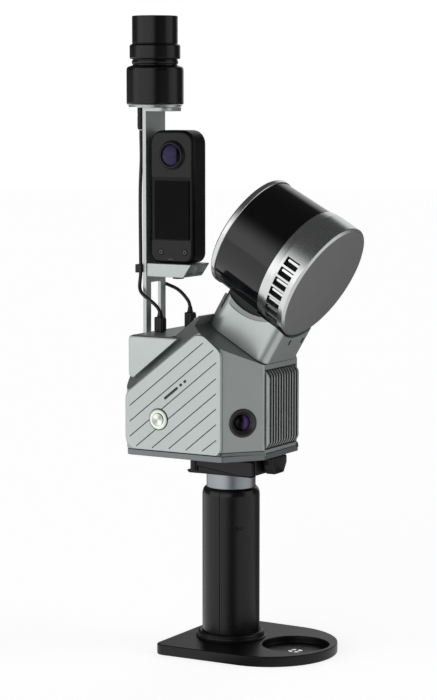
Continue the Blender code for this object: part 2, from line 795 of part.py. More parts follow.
def mapping_cameras():
    """A bezel ring and a lens barrel behind each front corner's chamfer."""
    for side, hand in ((-1, "right"), (1, "left")):
        keep(eye_place(side, 0, turned(BEZEL, SMALL_RING, ring=True)), f"mapping_camera_bezel_{hand}", BLACK_METAL)
        keep(eye_place(side, 0, turned(LENS, SMALL_RING)), f"mapping_camera_lens_{hand}", LENS_GLASS)


def side_panels():
    for side, hand in ((-1, "right"), (1, "left")):
        y = side * (BODY_HALF + GAP + PANEL_T / 2)
        panel = flat(rounded(PANEL, PANEL_R, 5), PANEL_T, (0, y, 0), UPRIGHT)
        if side < 0:
            boolean(panel, rod(POWER_HOLE_R, 0.02, (POWER_X, y, POWER_Z), "Y", SMALL_RING))
        keep(panel, f"side_panel_{hand}", LIGHT_SHELL)


def power_button():
    """A bezel in the right-hand panel and the cap that is pushed in through it."""
    y = -(BODY_HALF + GAP + PANEL_T)
    bezel = turned(POWER_BEZEL, SMALL_RING, ring=True)
    bezel.location = (POWER_X, y, POWER_Z)
    bezel.rotation_euler = (math.pi / 2, 0, 0)
    keep(bezel, "power_button_bezel", STEEL)
    cap_back = -0.0055
    cap = turned([(0, 0.0015), (0.0050, 0.0012), (CAP_R, 0.0002), (CAP_R, cap_back), (0, cap_back)], SMALL_RING)
    cap.location = (POWER_X, y, POWER_Z)
    cap.rotation_euler = (math.pi / 2, 0, 0)
    keep(cap, "power_button_cap", STEEL)


def heat_sink():
    """Front block; its fins stand proud and slope back at both ends."""
    step = SINK_PROUD * 1.6
    front = BODY_FRONT + SINK_PROUD
    outline = [
        (SINK_BACK, SINK_LOW),
        (BODY_FRONT, SINK_LOW),
        (front, SINK_LOW + step),
        (front, SINK_HIGH - step),
        (BODY_FRONT, SINK_HIGH),
        (SINK_BACK, SINK_HIGH),
    ]
    sink = flat(outline, SINK_HALF * 2, (0, 0, 0), UPRIGHT)
    for number in range(SLOTS):
        y = FIRST_SLOT_Y + number * SLOT_PITCH
        low = (BODY_FRONT - SLOT_DEPTH, y - SLOT_W / 2, SINK_LOW + SLOT_END)
        boolean(sink, box(low, (FAR, y + SLOT_W / 2, SINK_HIGH - SLOT_END)))
    return keep(sink, "heat_sink", GREY_SHELL)


def main_board():
    board = box(BOARD_LOW, BOARD_HIGH)
    half = POST_W / 2
    for x in (BOARD_LOW[0] + POST_INSET, BOARD_HIGH[0] - POST_INSET):
        for y in (BOARD_LOW[1] + POST_INSET, BOARD_HIGH[1] - POST_INSET):
            post = box((x - half, y - half, COVER_TOP + GAP), (x + half, y + half, BOARD_LOW[2] + 0.001))
            boolean(board, post, "UNION")
    return keep(board, "main_board", BOARD_GREEN)


def rear_housing():
    """Wedge-shaped box on the rear slope; the mast and both lead plugs stand on it."""
    block = box((REAR_BACK, -REAR_HALF, REAR_BOTTOM), (REAR_FRONT, REAR_HALF, REAR_TOP), 0.0035)
    foot_low = (MAST_X + MAST_T / 2 + GAP, -MAST_FOOT_HALF, MAST_BOTTOM)
    boolean(block, box(foot_low, (REAR_BACK + 0.005, MAST_FOOT_HALF, MAST_FOOT_TOP)), "UNION")
    slope = math.atan(REAR_SLOPE)
    lift = GAP * 1.2 / math.cos(slope)
    back, front, low = -0.12, 0.03, 0.1
    for half, drop in ((HUMP_HALF + SHOULDER_RUN, 0.0), (FAR, SHOULDER_DROP)):
        top = RIDGE_Z + lift - drop
        back_z = top + (back - RIDGE_X) * REAR_SLOPE
        front_z = top + (front - RIDGE_X) * REAR_SLOPE
        wedge = flat([(back, low), (front, low), (front, front_z), (back, back_z)], half * 2, (0, 0, 0), UPRIGHT)
        boolean(block, wedge)
    return keep(block, "rear_housing", LIGHT_SHELL)


# Head that turns on the tilted pad


def head(axis):
    """Saddle, shaft and seat that carry the laser unit."""
    half = HEAD_HALF_Y
    corners = [(HEAD_REAR, -half), (HEAD_HALF_X, -half), (HEAD_HALF_X, half), (HEAD_REAR, half)]
    plan_view = rounded(corners, [HEAD_REAR_R, HEAD_CORNER_R, HEAD_CORNER_R, HEAD_REAR_R], 6)
    saddle = flat(plan_view, HEAD_TOP - HEAD_LOW, (0, 0, (HEAD_TOP + HEAD_LOW) / 2))
    laser_hollow = rod(LASER_R + 0.0018, FAR, (0, 0, LASER_AXIS_H), "X", LARGE)
    pocket = box(
        (SEAT_REAR - GAP, -SEAT_HALF - GAP, SEAT_BOTTOM - GAP), (SEAT_FRONT + GAP, SEAT_HALF + GAP, SEAT_TOP + GAP)
    )
    side_dip = rod(DIP_R, FAR, (DIP_X, 0, DIP_Z), "Y", LARGE)
    bore = rod(SHAFT_R + SHAFT_CLEARANCE, FAR, (0, 0, 0))
    for cutter in (laser_hollow, pocket, side_dip, bore):
        cutter.parent = axis
        boolean(saddle, cutter)
    keep(saddle, "swivel_housing", LIGHT_SHELL, axis)

    seat = box((SEAT_REAR, -SEAT_HALF, SEAT_BOTTOM), (SEAT_FRONT, SEAT_HALF, SEAT_TOP))
    band_rear = LASER_FRONT - BAND_L
    window_slope = (WINDOW_R - WINDOW_REAR_R) / (LASER_LENGTH - TOP_RING_L - BAND_L)
    past_seat = -0.040
    hollow_profile = [
        (0, FAR),
        (LASER_SEAT_R, FAR),
        (LASER_SEAT_R, band_rear - GAP),
        (WINDOW_R + GAP, band_rear - GAP),
        (WINDOW_R + GAP - (band_rear - past_seat) * window_slope, past_seat),
        (0, past_seat),
    ]
    seat_hollow = turned(hollow_profile, 96)
    seat_hollow.rotation_euler = (0, math.pi / 2, 0)
    seat_hollow.location = (0, 0, LASER_AXIS_H)
    seat_hollow.parent = axis
    boolean(seat, seat_hollow)
    keep(seat, "laser_seat", BLACK_METAL, axis)

    shaft_top = SEAT_BOTTOM - GAP
    shaft = rod(SHAFT_R, SHAFT_L, (0, 0, shaft_top - SHAFT_L / 2))
    keep(shaft, "swivel_shaft", STEEL, axis)


def swivel_motor(axis):
    profile = [
        (SHAFT_R + SHAFT_CLEARANCE, MOTOR_TOP),
        (MOTOR_R, MOTOR_TOP),
        (MOTOR_R, MOTOR_BOTTOM),
        (SHAFT_R + SHAFT_CLEARANCE, MOTOR_BOTTOM),
    ]
    return keep(turned(profile, SMALL_RING, ring=True), "swivel_motor", BLACK_METAL, axis)


def laser_unit(axis):
    """Laser unit along the axis empty's Z, which points to the front cap; zero is the cap's rim."""
    rear = -LASER_LENGTH
    band_end = -BAND_L
    floor = -0.012
    hollow_r = WINDOW_R - 0.0035
    base = [
        (0, DISC_PROUD),
        (LASER_R - 2 * DISC_PROUD, DISC_PROUD),
        (LASER_R, 0),
        (LASER_R, BAND_TAPER_FROM),
        (WINDOW_R + BAND_LIP, band_end),
        (hollow_r, band_end),
        (hollow_r, floor),
        (0, floor),
    ]
    keep(turned(base, LARGE), "laser_base", LASER_METAL, axis)
    window_end = rear + TOP_RING_L
    window = [
        (WINDOW_REAR_R - WINDOW_T, window_end + GAP),
        (WINDOW_R - WINDOW_T, band_end - GAP),
        (WINDOW_R, band_end - GAP),
        (WINDOW_REAR_R, window_end + GAP),
    ]
    keep(turned(window, LARGE, ring=True), "laser_window", DARK_GLASS, axis)
    lid_r = WINDOW_REAR_R + BAND_LIP
    lid = [(0, window_end), (lid_r, window_end), (lid_r, rear + 0.001), (lid_r - 0.0016, rear), (0, rear)]
    keep(turned(lid, LARGE), "laser_top_cap", LASER_METAL, axis)
    spindle = rod(SPINDLE_R, SPINDLE_L, (0, 0, floor - GAP - SPINDLE_L / 2))
    keep(spindle, "laser_spindle", STEEL, axis)
    bore_r = SPINDLE_R + SHAFT_CLEARANCE
    bore_end = floor - SPINDLE_L - 0.001
    rotor_front = floor - 0.004
    rotor_rear = window_end + 0.004
    rotor_profile = [
        (0, bore_end),
        (bore_r, bore_end),
        (bore_r, rotor_front),
        (ROTOR_R, rotor_front),
        (ROTOR_R, rotor_rear),
        (0, rotor_rear),
    ]
    keep(turned(rotor_profile), "laser_rotor", BLACK_METAL, axis)


# Mast, antenna and leads


def mast_bracket():
    """Bent plate: two legs below, a tray above them and a round-ended flange at the top."""
    low = (MAST_X - MAST_T / 2, -MAST_HALF, MAST_BOTTOM)
    mast = box(low, (MAST_X + MAST_T / 2, MAST_HALF, MAST_TOP))
    boolean(mast, box((-FAR, -WINDOW_HALF, WINDOW_BOTTOM), (FAR, WINDOW_HALF, WINDOW_TOP)))
    corners = [(MAST_X, -MAST_HALF), (TONGUE_FRONT, -MAST_HALF), (TONGUE_FRONT, MAST_HALF), (MAST_X, MAST_HALF)]
    tongue = rounded(corners, [0, TONGUE_R, TONGUE_R, 0])
    boolean(mast, flat(tongue, MAST_T, (0, 0, MAST_TOP - MAST_T / 2)), "UNION")
    return keep(mast, "mast_bracket", LIGHT_SHELL)


def antenna():
    """Base ring, radome and the core inside it."""
    ring = rod(ANTENNA_RING_R, ANTENNA_RING_T, (ANTENNA_X, 0, ANTENNA_BOTTOM + ANTENNA_RING_T / 2), sides=SIDES)
    keep(ring, "antenna_base_ring", STEEL)
    bottom = ANTENNA_BOTTOM + ANTENNA_RING_T + GAP
    radome = turned(
        [
            (0, 0.5257),
            (0.0181, 0.5257),
            (0.0191, 0.5247),
            (0.0191, 0.5032),
            (0.0206, 0.5017),
            (0.0212, 0.5008),
            (0.0212, 0.4912),
            (0.0206, 0.4902),
            (0.0190, 0.4894),
            (0.0190, 0.4856),
            (0.0228, 0.4834),
            (0.0236, 0.4824),
            (0.0239, 0.4800),
            (0.0239, bottom),
            (RADOME_IN_R, bottom),
            (RADOME_IN_R, RADOME_IN_TOP),
            (0, RADOME_IN_TOP),
        ]
    )
    radome.location = (ANTENNA_X, 0, 0)
    keep(radome, "antenna_radome", BLACK_PLASTIC)
    core = rod(CORE_R, CORE_L, (ANTENNA_X, 0, bottom + CORE_L / 2), sides=SMALL_RING)
    keep(core, "antenna_core", BOARD_GREEN)


def leads():
    """Each antenna lead, with the socket that it leaves and the plug that it ends in."""
    for side, hand in ((-1, "right"), (1, "left")):
        route = LEAD_ROUTES[hand]
        socket_top = ANTENNA_BOTTOM - GAP
        top = route[0]
        socket = rod(SOCKET_R, socket_top - top[2] - GAP, (top[0], top[1], (socket_top + top[2] + GAP) / 2))
        keep(socket, f"antenna_socket_{hand}", BLACK_METAL)
        keep(lead(route), f"antenna_lead_{hand}", BLACK_PLASTIC)
        end = route[-1]
        plug_top = end[2] - 2 * GAP
        low = (end[0] - PLUG_HALF_X, end[1] - PLUG_HALF_Y, REAR_TOP + GAP)
        plug = box(low, (end[0] + PLUG_HALF_X, end[1] + PLUG_HALF_Y, plug_top), 0.0008, 1)
        keep(plug, f"lead_plug_{hand}", BLACK_PLASTIC)
    clip = box((CLIP_BACK, -CLIP_HALF, CLIP_LOW), (MAST_X - MAST_T / 2 - GAP, CLIP_HALF, CLIP_HIGH))
    for side in (1, -1):
        y = side * CLIP_SLOT[1]
        half = LEAD_R + GAP
        boolean(clip, box((CLIP_SLOT[0] - half, y - half, 0), (0, y + half, FAR * 2)))
    keep(clip, "lead_clip", BLACK_PLASTIC)


# Panoramic camera on its tray


def camera_tray():
    """Tray with a raised, sloping front end; the camera's screw goes up through it."""
    rear = MAST_X + MAST_T / 2 + GAP
    outline = [
        (rear, TRAY_BOTTOM),
        (TRAY_FRONT - TRAY_RAKE, TRAY_BOTTOM),
        (TRAY_FRONT, TRAY_TOP),
        (rear, TRAY_TOP),
    ]
    tray = flat(outline, TRAY_HALF * 2, (0, 0, 0), UPRIGHT)
    under_low = (rear + 0.003, -TRAY_HALF + 0.002, 0)
    boolean(tray, box(under_low, (TRAY_FRONT - 0.012, TRAY_HALF - 0.002, TRAY_TOP - TRAY_DECK)))
    boolean(tray, rod(STUD_R + 0.0004, 0.03, (CAMERA_X, CAMERA_Y, TRAY_TOP)))
    keep(tray, "camera_tray", LIGHT_SHELL)
    knob_top = TRAY_TOP - TRAY_DECK - GAP
    profile = [
        (0, TRAY_TOP + STUD_REACH),
        (STUD_R, TRAY_TOP + STUD_REACH),
        (STUD_R, knob_top),
        (KNOB_R, knob_top),
        (KNOB_R, KNOB_BOTTOM + 0.0020),
        (KNOB_R - 0.0016, KNOB_BOTTOM),
        (0, KNOB_BOTTOM),
    ]
    knob = turned(profile, FEW)
    knob.location = (CAMERA_X, CAMERA_Y, 0)
    keep(knob, "tray_thumb_screw", STEEL)


def panoramic_camera():
    """Camera body with a domed lens on each side, a screen and two push buttons."""
    half_w = CAMERA_W / 2
    half_d = CAMERA_D / 2
    low, high = CAMERA_BOTTOM, CAMERA_TOP
    corners = [
        (CAMERA_X - half_w, low),
        (CAMERA_X + half_w, low),
        (CAMERA_X + half_w, high),
        (CAMERA_X - half_w, high),
    ]
    body = flat(rounded(corners, CAMERA_CORNER_R, 6), CAMERA_D, (0, CAMERA_Y, 0), UPRIGHT)
    round_off(body, 0.0028, 3)
    boolean(body, rod(STUD_R + 0.0002, 0.014, (CAMERA_X, CAMERA_Y, CAMERA_BOTTOM)))
    for x in CAMERA_BUTTON_X.values():
        boolean(body, rod(CAMERA_BUTTON_R + GAP, 0.006, (x, CAMERA_Y - half_d, CAMERA_BUTTON_Z), "Y"))
    keep(body, "panoramic_camera_body", BLACK_PLASTIC)
    for side, name in ((-1, "panoramic_lens_right"), (1, "panoramic_lens_left")):
        profile = [(0, 0.0052), (0.0040, 0.0048), (0.0075, 0.0036), (0.0098, 0.0018), (EYE_R, 0.0016), (EYE_R, GAP)]
        dome = turned([*profile, (0, GAP)], SMALL_RING)
        dome.location = (EYE_X, CAMERA_Y + side * half_d, EYE_Z)
        dome.rotation_euler = (-side * math.pi / 2, 0, 0)
        keep(dome, name, LENS_GLASS)
    face = CAMERA_Y - half_d
    screen = box((SCREEN_LOW[0], face - 0.0008, SCREEN_LOW[1]), (SCREEN_HIGH[0], face - GAP, SCREEN_HIGH[1]))
    keep(screen, "panoramic_camera_screen", DARK_GLASS)
    for name, x in CAMERA_BUTTON_X.items():
        cap = rod(CAMERA_BUTTON_R, 0.0030, (x, face + 0.0007, CAMERA_BUTTON_Z), "Y")
        keep(cap, name, BLACK_PLASTIC)


def build():
    base_plate()
    base_collar()
    base_screws()
    handle()
    handle_end_cap()
    battery_cells()
    neck_tube()
    quick_release()
    bottom_cover()
    main_housing()
    mapping_cameras()
    side_panels()
    power_button()
    heat_sink()
    main_board()
    rear_housing()
    head_axis = frame_empty("head_axis", PAD_CENTRE, (0, TILT, 0))
    swivel_motor(head_axis)
    head(head_axis)
    laser_axis = frame_empty(
        "laser_axis", (LASER_FRONT, 0, LASER_AXIS_H), (0, math.pi / 2, 0), head_axis
    )
    laser_unit(laser_axis)
    mast_bracket()
    antenna()
    leads()
    camera_tray()
    panoramic_camera()


build()
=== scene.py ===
"""Looks of the handheld terrestrial laser scanner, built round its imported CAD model."""

import json
import math

import bmesh
import bpy
from mathutils import Matrix, Vector


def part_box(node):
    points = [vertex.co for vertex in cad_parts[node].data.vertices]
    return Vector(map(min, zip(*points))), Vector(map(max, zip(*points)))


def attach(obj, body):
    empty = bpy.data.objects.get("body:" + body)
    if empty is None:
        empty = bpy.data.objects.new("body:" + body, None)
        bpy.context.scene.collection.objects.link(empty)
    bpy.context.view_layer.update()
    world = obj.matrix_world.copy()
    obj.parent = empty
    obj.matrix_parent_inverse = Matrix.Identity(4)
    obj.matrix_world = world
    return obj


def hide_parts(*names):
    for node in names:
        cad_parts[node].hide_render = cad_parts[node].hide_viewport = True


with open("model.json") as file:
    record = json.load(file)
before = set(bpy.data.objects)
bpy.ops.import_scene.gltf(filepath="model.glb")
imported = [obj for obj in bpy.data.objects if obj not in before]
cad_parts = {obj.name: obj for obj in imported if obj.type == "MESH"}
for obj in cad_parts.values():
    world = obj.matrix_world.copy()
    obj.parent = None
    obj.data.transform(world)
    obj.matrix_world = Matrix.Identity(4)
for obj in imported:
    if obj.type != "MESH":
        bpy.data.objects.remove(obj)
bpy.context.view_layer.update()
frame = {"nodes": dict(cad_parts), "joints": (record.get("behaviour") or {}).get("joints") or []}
nodes = frame["nodes"]
joints = {joint["name"]: joint for joint in frame["joints"]}
scene = bpy.context.scene

HAIR = 0.0003  # gap between two pieces that touch
MERGE = 2e-6  # points closer than this are one
IDENTITY = Matrix.Identity(4)
UPRIGHT = Matrix.Rotation(math.pi / 2, 4, "X")  # an outline's x and y become x and z
FORWARD = Matrix(((0, 0, 1, 0), (1, 0, 0, 0), (0, 1, 0, 0), (0, 0, 0, 1)))  # they become y and z
OUTWARD = Matrix(((0, 0, 1, 0), (0, 1, 0, 0), (1, 0, 0, 0), (0, 0, 0, 1)))  # they become z and y

# Turntable frame: X runs ahead along the laser unit, Z up through the pad's centre
pad = Vector(joints["head_turn"]["pos_m"])
head_up = Vector(joints["head_turn"]["axis"]).normalized()
head_ahead = Vector(joints["laser_spin"]["axis"]).normalized()
HEAD = Matrix.Translation(pad) @ Matrix((head_ahead, (0, 1, 0), head_up)).transposed().to_4x4()
LASER_H = (Vector(joints["laser_spin"]["pos_m"]) - pad).dot(head_up)
LASER_RIM = 0.0298  # the laser unit's end face, ahead of the pad's centre
LASER = HEAD @ Matrix.Translation((LASER_RIM, 0, LASER_H)) @ Matrix.Rotation(math.pi / 2, 4, "Y")


# Camera

CAMERA_SPOT = (0.94144, -1.64436, 0.46432)
CAMERA_DIP = 6.452  # degrees below level
CAMERA_TURN = 30.11
FOCAL_LENGTH = 118.21

camera = bpy.data.objects.new("camera", bpy.data.cameras.new("camera"))
scene.collection.objects.link(camera)
camera.location = CAMERA_SPOT
camera.rotation_euler = (math.radians(90 - CAMERA_DIP), 0, math.radians(CAMERA_TURN))
camera.data.sensor_width = 36
camera.data.lens = FOCAL_LENGTH
camera.data.clip_start = 0.05
camera.data.clip_end = 60
scene.camera = camera


# Materials


class Finish:
    """A procedural material: broad colour drift, fine grain in colour, roughness and height."""

    def __init__(self, name, colour, roughness, metallic=0.0, slot=None):
        self.slot = slot
        self.material = bpy.data.materials.new(name)
        self.material.use_nodes = True
        self.tree = self.material.node_tree
        self.shader = self.tree.nodes["Principled BSDF"]
        self.shader.inputs["Metallic"].default_value = metallic
        self.shader.inputs["Roughness"].default_value = roughness
        self.shader.inputs["Base Color"].default_value = (*colour, 1)
        self.colour = colour
        self.roughness = roughness
        self.coords = self.node("ShaderNodeTexCoord").outputs["Object"]

    def node(self, kind, **values):
        made = self.tree.nodes.new(kind)
        for name, value in values.items():
            if name in made.inputs:
                made.inputs[name].default_value = value
            else:
                setattr(made, name, value)
        return made

    def link(self, source, target):
        self.tree.links.new(source, target)
        return self

    def stretched(self, scale, location=(0, 0, 0), rotation=(0, 0, 0)):
        mapping = self.node("ShaderNodeMapping")
        mapping.inputs["Scale"].default_value = scale
        mapping.inputs["Location"].default_value = location
        mapping.inputs["Rotation"].default_value = rotation
        self.link(self.coords, mapping.inputs["Vector"])
        return mapping.outputs["Vector"]

    def noise(self, scale, detail=2.0, vector=None, rough=0.5):
        made = self.node("ShaderNodeTexNoise", Scale=scale, Detail=detail, Roughness=rough)
        self.link(vector or self.coords, made.inputs["Vector"])
        return made.outputs["Fac"]

    def ranged(self, source, low, high, from_low=0.3, from_high=0.7):
        made = self.node("ShaderNodeMapRange")
        made.inputs["From Min"].default_value = from_low
        made.inputs["From Max"].default_value = from_high
        made.inputs["To Min"].default_value = low
        made.inputs["To Max"].default_value = high
        self.link(source, made.inputs["Value"])
        return made.outputs["Result"]

    def blended(self, source, low, high):
        """Drives the base colour from low to high with a 0 to 1 source."""
        ramp = self.node("ShaderNodeMix", data_type="RGBA")
        ramp.inputs[6].default_value = (*low, 1)
        ramp.inputs[7].default_value = (*high, 1)
        self.link(source, ramp.inputs[0])
        self.link(ramp.outputs[2], self.shader.inputs["Base Color"])

    def tinted(self, source, amount, brighter=None):
        """Drives the base colour from darker to lighter, by amount each way."""
        low = tuple(c * (1 - amount) for c in self.colour)
        high = brighter or tuple(min(1, c * (1 + amount)) for c in self.colour)
        self.blended(source, low, high)

    def grain(self, size, drift=0.04, height=0.00002, strength=0.25, rough_span=0.06, vector=None):
        """Fine grain of that size over a broad drift, in colour, roughness and height."""
        fine = self.noise(1 / size, 3.0, vector)
        broad = self.noise(22, 2.0)
        mixed = self.node("ShaderNodeMath", operation="MULTIPLY_ADD")
        mixed.inputs[1].default_value = 0.6
        self.link(fine, mixed.inputs[0])
        self.link(self.ranged(broad, 0.0, 0.4), mixed.inputs[2])
        self.tinted(self.ranged(mixed.outputs[0], 0, 1, 0.25, 0.75), drift)
        self.link(
            self.ranged(fine, self.roughness - rough_span, self.roughness + rough_span),
            self.shader.inputs["Roughness"],
        )
        self.bumped(fine, strength, height)
        return self

    def bumped(self, source, strength, height):
        bump = self.node("ShaderNodeBump", Strength=strength, Distance=height)
        self.link(source, bump.inputs["Height"])
        self.link(bump.outputs["Normal"], self.shader.inputs["Normal"])

    def dulled(self, level):
        self.shader.inputs["Specular IOR Level"].default_value = level
        return self


def satin(name, colour, roughness, metallic, slot, size=0.0005, drift=0.03):
    """Satin paint or metal with a fine grain."""
    return Finish(name, colour, roughness, metallic, slot).grain(size, drift)


def black(name, colour, roughness, shine, slot, *grain):
    """A black surface that isn't a metal; shine is its specular level."""
    return Finish(name, colour, roughness, 0.0, slot).dulled(shine).grain(*grain)


PAINT_LIGHT = satin("satin_paint_light", (0.50, 0.535, 0.525), 0.38, 0.8, "light_shell")
PAINT_HEAD = satin("satin_paint_head", (0.50, 0.535, 0.525), 0.36, 0.8, "light_shell")
# Painted shade: a darker copy of the head paint for the recessed bands on the saddle's flanks
RECESS_PAINTED_SHADE = satin("satin_paint_recess_painted_shade", (0.28, 0.30, 0.295), 0.42, 0.8, "light_shell")
# Painted shade: a dark copy of the light paint for the groove floors, standing in for the shadow in the
# grooves
GROOVE_PAINTED_SHADE = satin("painted_shade_in_grooves", (0.10, 0.107, 0.105), 0.5, 0.3, "light_shell").dulled(0.3)
PAINT_GREY = satin("satin_paint_grey", (0.42, 0.45, 0.44), 0.38, 0.8, "grey_shell")
PAINT_FINS = satin("satin_paint_fins", (0.40, 0.425, 0.415), 0.34, 0.8, "grey_shell", 0.0004, 0.04)
# Painted shade: a darker copy of the grey paint for the housing faces that look up, for how dimly they are
# lit
PAD_PAINTED_SHADE = satin("satin_paint_pad_painted_shade", (0.20, 0.214, 0.21), 0.42, 0.8, "grey_shell")
# Painted shade: a dark copy of the grey paint for the heat sink's slots, standing in for the shadow between
# the fins
SLOT_PAINTED_SHADE = satin("painted_shade_in_slots", (0.07, 0.075, 0.073), 0.5, 0.3, "grey_shell").dulled(0.3)
COVER = satin("satin_paint_cover", (0.20, 0.212, 0.216), 0.32, 0.7, "grey_shell")
LASER_CAP = satin("laser_cap_satin", (0.40, 0.40, 0.405), 0.36, 0.85, "laser_metal", 0.0004)
BAND = satin("laser_band_satin", (0.66, 0.67, 0.67), 0.24, 1.0, "laser_metal", 0.0004, 0.04)
BAR_BRIGHT = satin("bright_bar", (0.85, 0.86, 0.86), 0.30, 0.9, "laser_metal", 0.0004)
BEZEL_BLACK = satin("lens_bezel", (0.035, 0.036, 0.034), 0.38, 0.3, "black_metal", 0.0004, 0.1)
GREEN = satin("circuit_board", (0.02, 0.10, 0.05), 0.45, 0.0, "board_green", 0.0012, 0.3)
CELL = satin("cell_wrap", (0.05, 0.12, 0.30), 0.4, 0.0, "cell_blue", 0.002, 0.1)
PRINT = satin("dark_print", (0.02, 0.022, 0.022), 0.5, 0.0, "black_plastic", 0.0008, 0.1)
MARKS = satin("grey_print", (0.14, 0.14, 0.14), 0.5, 0.0, "black_plastic", 0.0008, 0.1)
GLOW = satin("button_light", (0.75, 0.85, 0.72), 0.35, 0.0, None, 0.0008, 0.05)
GLOW.shader.inputs["Emission Color"].default_value = (0.85, 1.0, 0.80, 1)
GLOW.shader.inputs["Emission Strength"].default_value = 0.35

ANODISED = black("black_anodised", [0.005] * 3, 0.38, 0.3, "black_metal", 0.00035, 0.18, 0.00003, 0.4)
# A matt black for the lock mark and a hidden part, also used as painted shade: dark faces, a liner and a disc
# that stand in for the shadow in slots and a hole
MATT_BLACK_AND_PAINTED_SHADE = black("matt_black_and_painted_shade", [0.006] * 3, 0.6, 0.2, "black_metal", 0.0006, 0.2)
GRIP = black("black_grip_plastic", [0.003] * 3, 0.26, 0.35, "black_plastic", 0.00055, 0.2, 0.00005, 0.4)
SOFT_BLACK = black(
    "black_moulded_plastic", [0.004] * 3, 0.34, 0.35, "black_plastic", 0.0004, 0.15, 0.00002, 0.3
)
RADOME = black("black_radome", [0.003] * 3, 0.24, 0.32, "black_plastic", 0.0005, 0.15, 0.00003, 0.3)
CABLE = black("black_cable_sheath", [0.006] * 3, 0.42, 0.5, "black_plastic", 0.0006, 0.15, 0.00003, 0.3)
BODY_BLACK = black("camera_body_black", [0.0025] * 3, 0.36, 0.2, "black_plastic", 0.0004, 0.15, 0.00003, 0.4)
FACE_BLACK = black(
    "camera_face_black", (0.008, 0.008, 0.0085), 0.40, 0.3, "black_plastic", 0.0004, 0.12, 0.00002, 0.3
)
SCREEN = black("screen_glass", [0.0025] * 3, 0.30, 0.06, "dark_glass", 0.003, 0.2, 0.000002, 0.05, 0.03)
GLASS = Finish("dark_window", (0.004, 0.004, 0.005), 0.09, 0.0, "dark_glass")
GLASS.grain(0.004, 0.2, 0.000002, 0.05, 0.02)


def brushed(name, colour, roughness, stretch, slot="steel", drift=0.08):
    """Brushed metal: noise stretched along the brushing."""
    made = Finish(name, colour, roughness, 1.0, slot)
    made.grain(0.0003, drift, 0.00001, 0.3, 0.07, made.stretched(stretch))
    return made


STEEL = brushed("brushed_steel", (0.55, 0.57, 0.58), 0.3, (1, 1, 0.06))
NECK = brushed("anodised_neck", (0.32, 0.345, 0.37), 0.34, (0.06, 0.06, 1))
RING = brushed("antenna_ring_metal", (0.55, 0.57, 0.57), 0.28, (0.1, 0.1, 1))


# Geometry


def add(name, work, place=IDENTITY):
    """A new object from a bmesh, with its place in its mesh."""
    bmesh.ops.recalc_face_normals(work, faces=work.faces)
    work.transform(place)
    mesh = bpy.data.meshes.new(name)
    work.to_mesh(mesh)
    work.free()
    obj = bpy.data.objects.new(name, mesh)
    scene.collection.objects.link(obj)
    return obj


def arc(x, y, radius, start, end, steps=8):
    turns = [math.radians(start + (end - start) * i / steps) for i in range(steps + 1)]
    return [(x + radius * math.cos(a), y + radius * math.sin(a)) for a in turns]


def rounded(corners, radii, steps=6, closed=True):
    """An outline, or an open profile, with its corners rounded."""
    count = len(corners)
    if not isinstance(radii, (list, tuple)):
        radii = [radii] * count
    line = []
    for i, radius in enumerate(radii):
        here = Vector(corners[i])
        if radius == 0 or (not closed and i in (0, count - 1)):
            line.append(tuple(here))
            continue
        before = (Vector(corners[i - 1]) - here).normalized()
        after = (Vector(corners[(i + 1) % count]) - here).normalized()
        half = before.angle(after) / 2
        start = here + before * radius / math.tan(half)
        end = here + after * radius / math.tan(half)
        centre = here + (before + after).normalized() * radius / math.sin(half)
        first = start - centre
        swing = first.angle_signed(end - centre)
        line += [tuple(centre + Matrix.Rotation(-swing * k / steps, 2) @ first) for k in range(steps + 1)]
    return line


def plate(name, outline, low, high, place=IDENTITY):
    """An extruded outline, from low to high along its own z."""
    work = bmesh.new()
    bottom = [work.verts.new((x, y, low)) for x, y in outline]
    top = [work.verts.new((x, y, high)) for x, y in outline]
    work.faces.new(bottom)
    work.faces.new(top)
    for i in range(len(outline)):
        j = (i + 1) % len(outline)
        work.faces.new((bottom[i], bottom[j], top[j], top[i]))
    return add(name, work, place)


def rectangle(left, low, right, high):
    return [(left, low), (right, low), (right, high), (left, high)]


def block(name, low, high, place=IDENTITY):
    return plate(name, rectangle(low[0], low[1], high[0], high[1]), low[2], high[2], place)


def lathe(name, profile, place=IDENTITY, sides=96, ring=False, start=0.0, sweep=360.0):
    """A turned piece from (radius, height) points; with ring the profile closes on itself."""
    work = bmesh.new()
    whole = sweep > 359.9
    steps = sides if whole else sides + 1
    turns = [math.radians(start + sweep * i / sides) for i in range(steps)]
    rows = []
    for radius, height in profile:
        if radius < 1e-7:
            rows.append([work.verts.new((0, 0, height))] * steps)
        else:
            rows.append([work.verts.new((radius * math.cos(a), radius * math.sin(a), height)) for a in turns])
    pairs = list(zip(rows, rows[1:])) + ([(rows[-1], rows[0])] if ring else [])
    for upper, lower in pairs:
        for i in range(steps if whole else steps - 1):
            j = (i + 1) % steps
            corners = list(dict.fromkeys((upper[i], lower[i], lower[j], upper[j])))
            if len(corners) > 2:
                work.faces.new(corners)
    if not whole:
        work.faces.new([row[0] for row in rows])
        work.faces.new([row[-1] for row in rows])
    return add(name, work, place)


def drum(name, radius, top, bottom, place=IDENTITY, sides=96):
    """A plain cylinder, mostly used as a cutter."""
    return lathe(name, [(0, top), (radius, top), (radius, bottom), (0, bottom)], place, sides)


def turned(name, profile, radii, place, sides=64, steps=4, ring=False):
    """A turned piece with its profile's corners rounded."""
    return lathe(name, rounded(profile, radii, steps, closed=ring), place, sides, ring=ring)


def centre_of(node):
    """The middle of a CAD node's box."""
    low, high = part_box(node)
    return [(a + b) / 2 for a, b in zip(low, high)]


def cleaned(mesh):
    """Joins a mesh's doubled points and flat neighbouring faces."""
    work = bmesh.new()
    work.from_mesh(mesh)
    bmesh.ops.remove_doubles(work, verts=work.verts, dist=MERGE)
    bmesh.ops.dissolve_limit(work, angle_limit=math.radians(0.5), verts=work.verts, edges=work.edges)
    work.to_mesh(mesh)
    work.free()


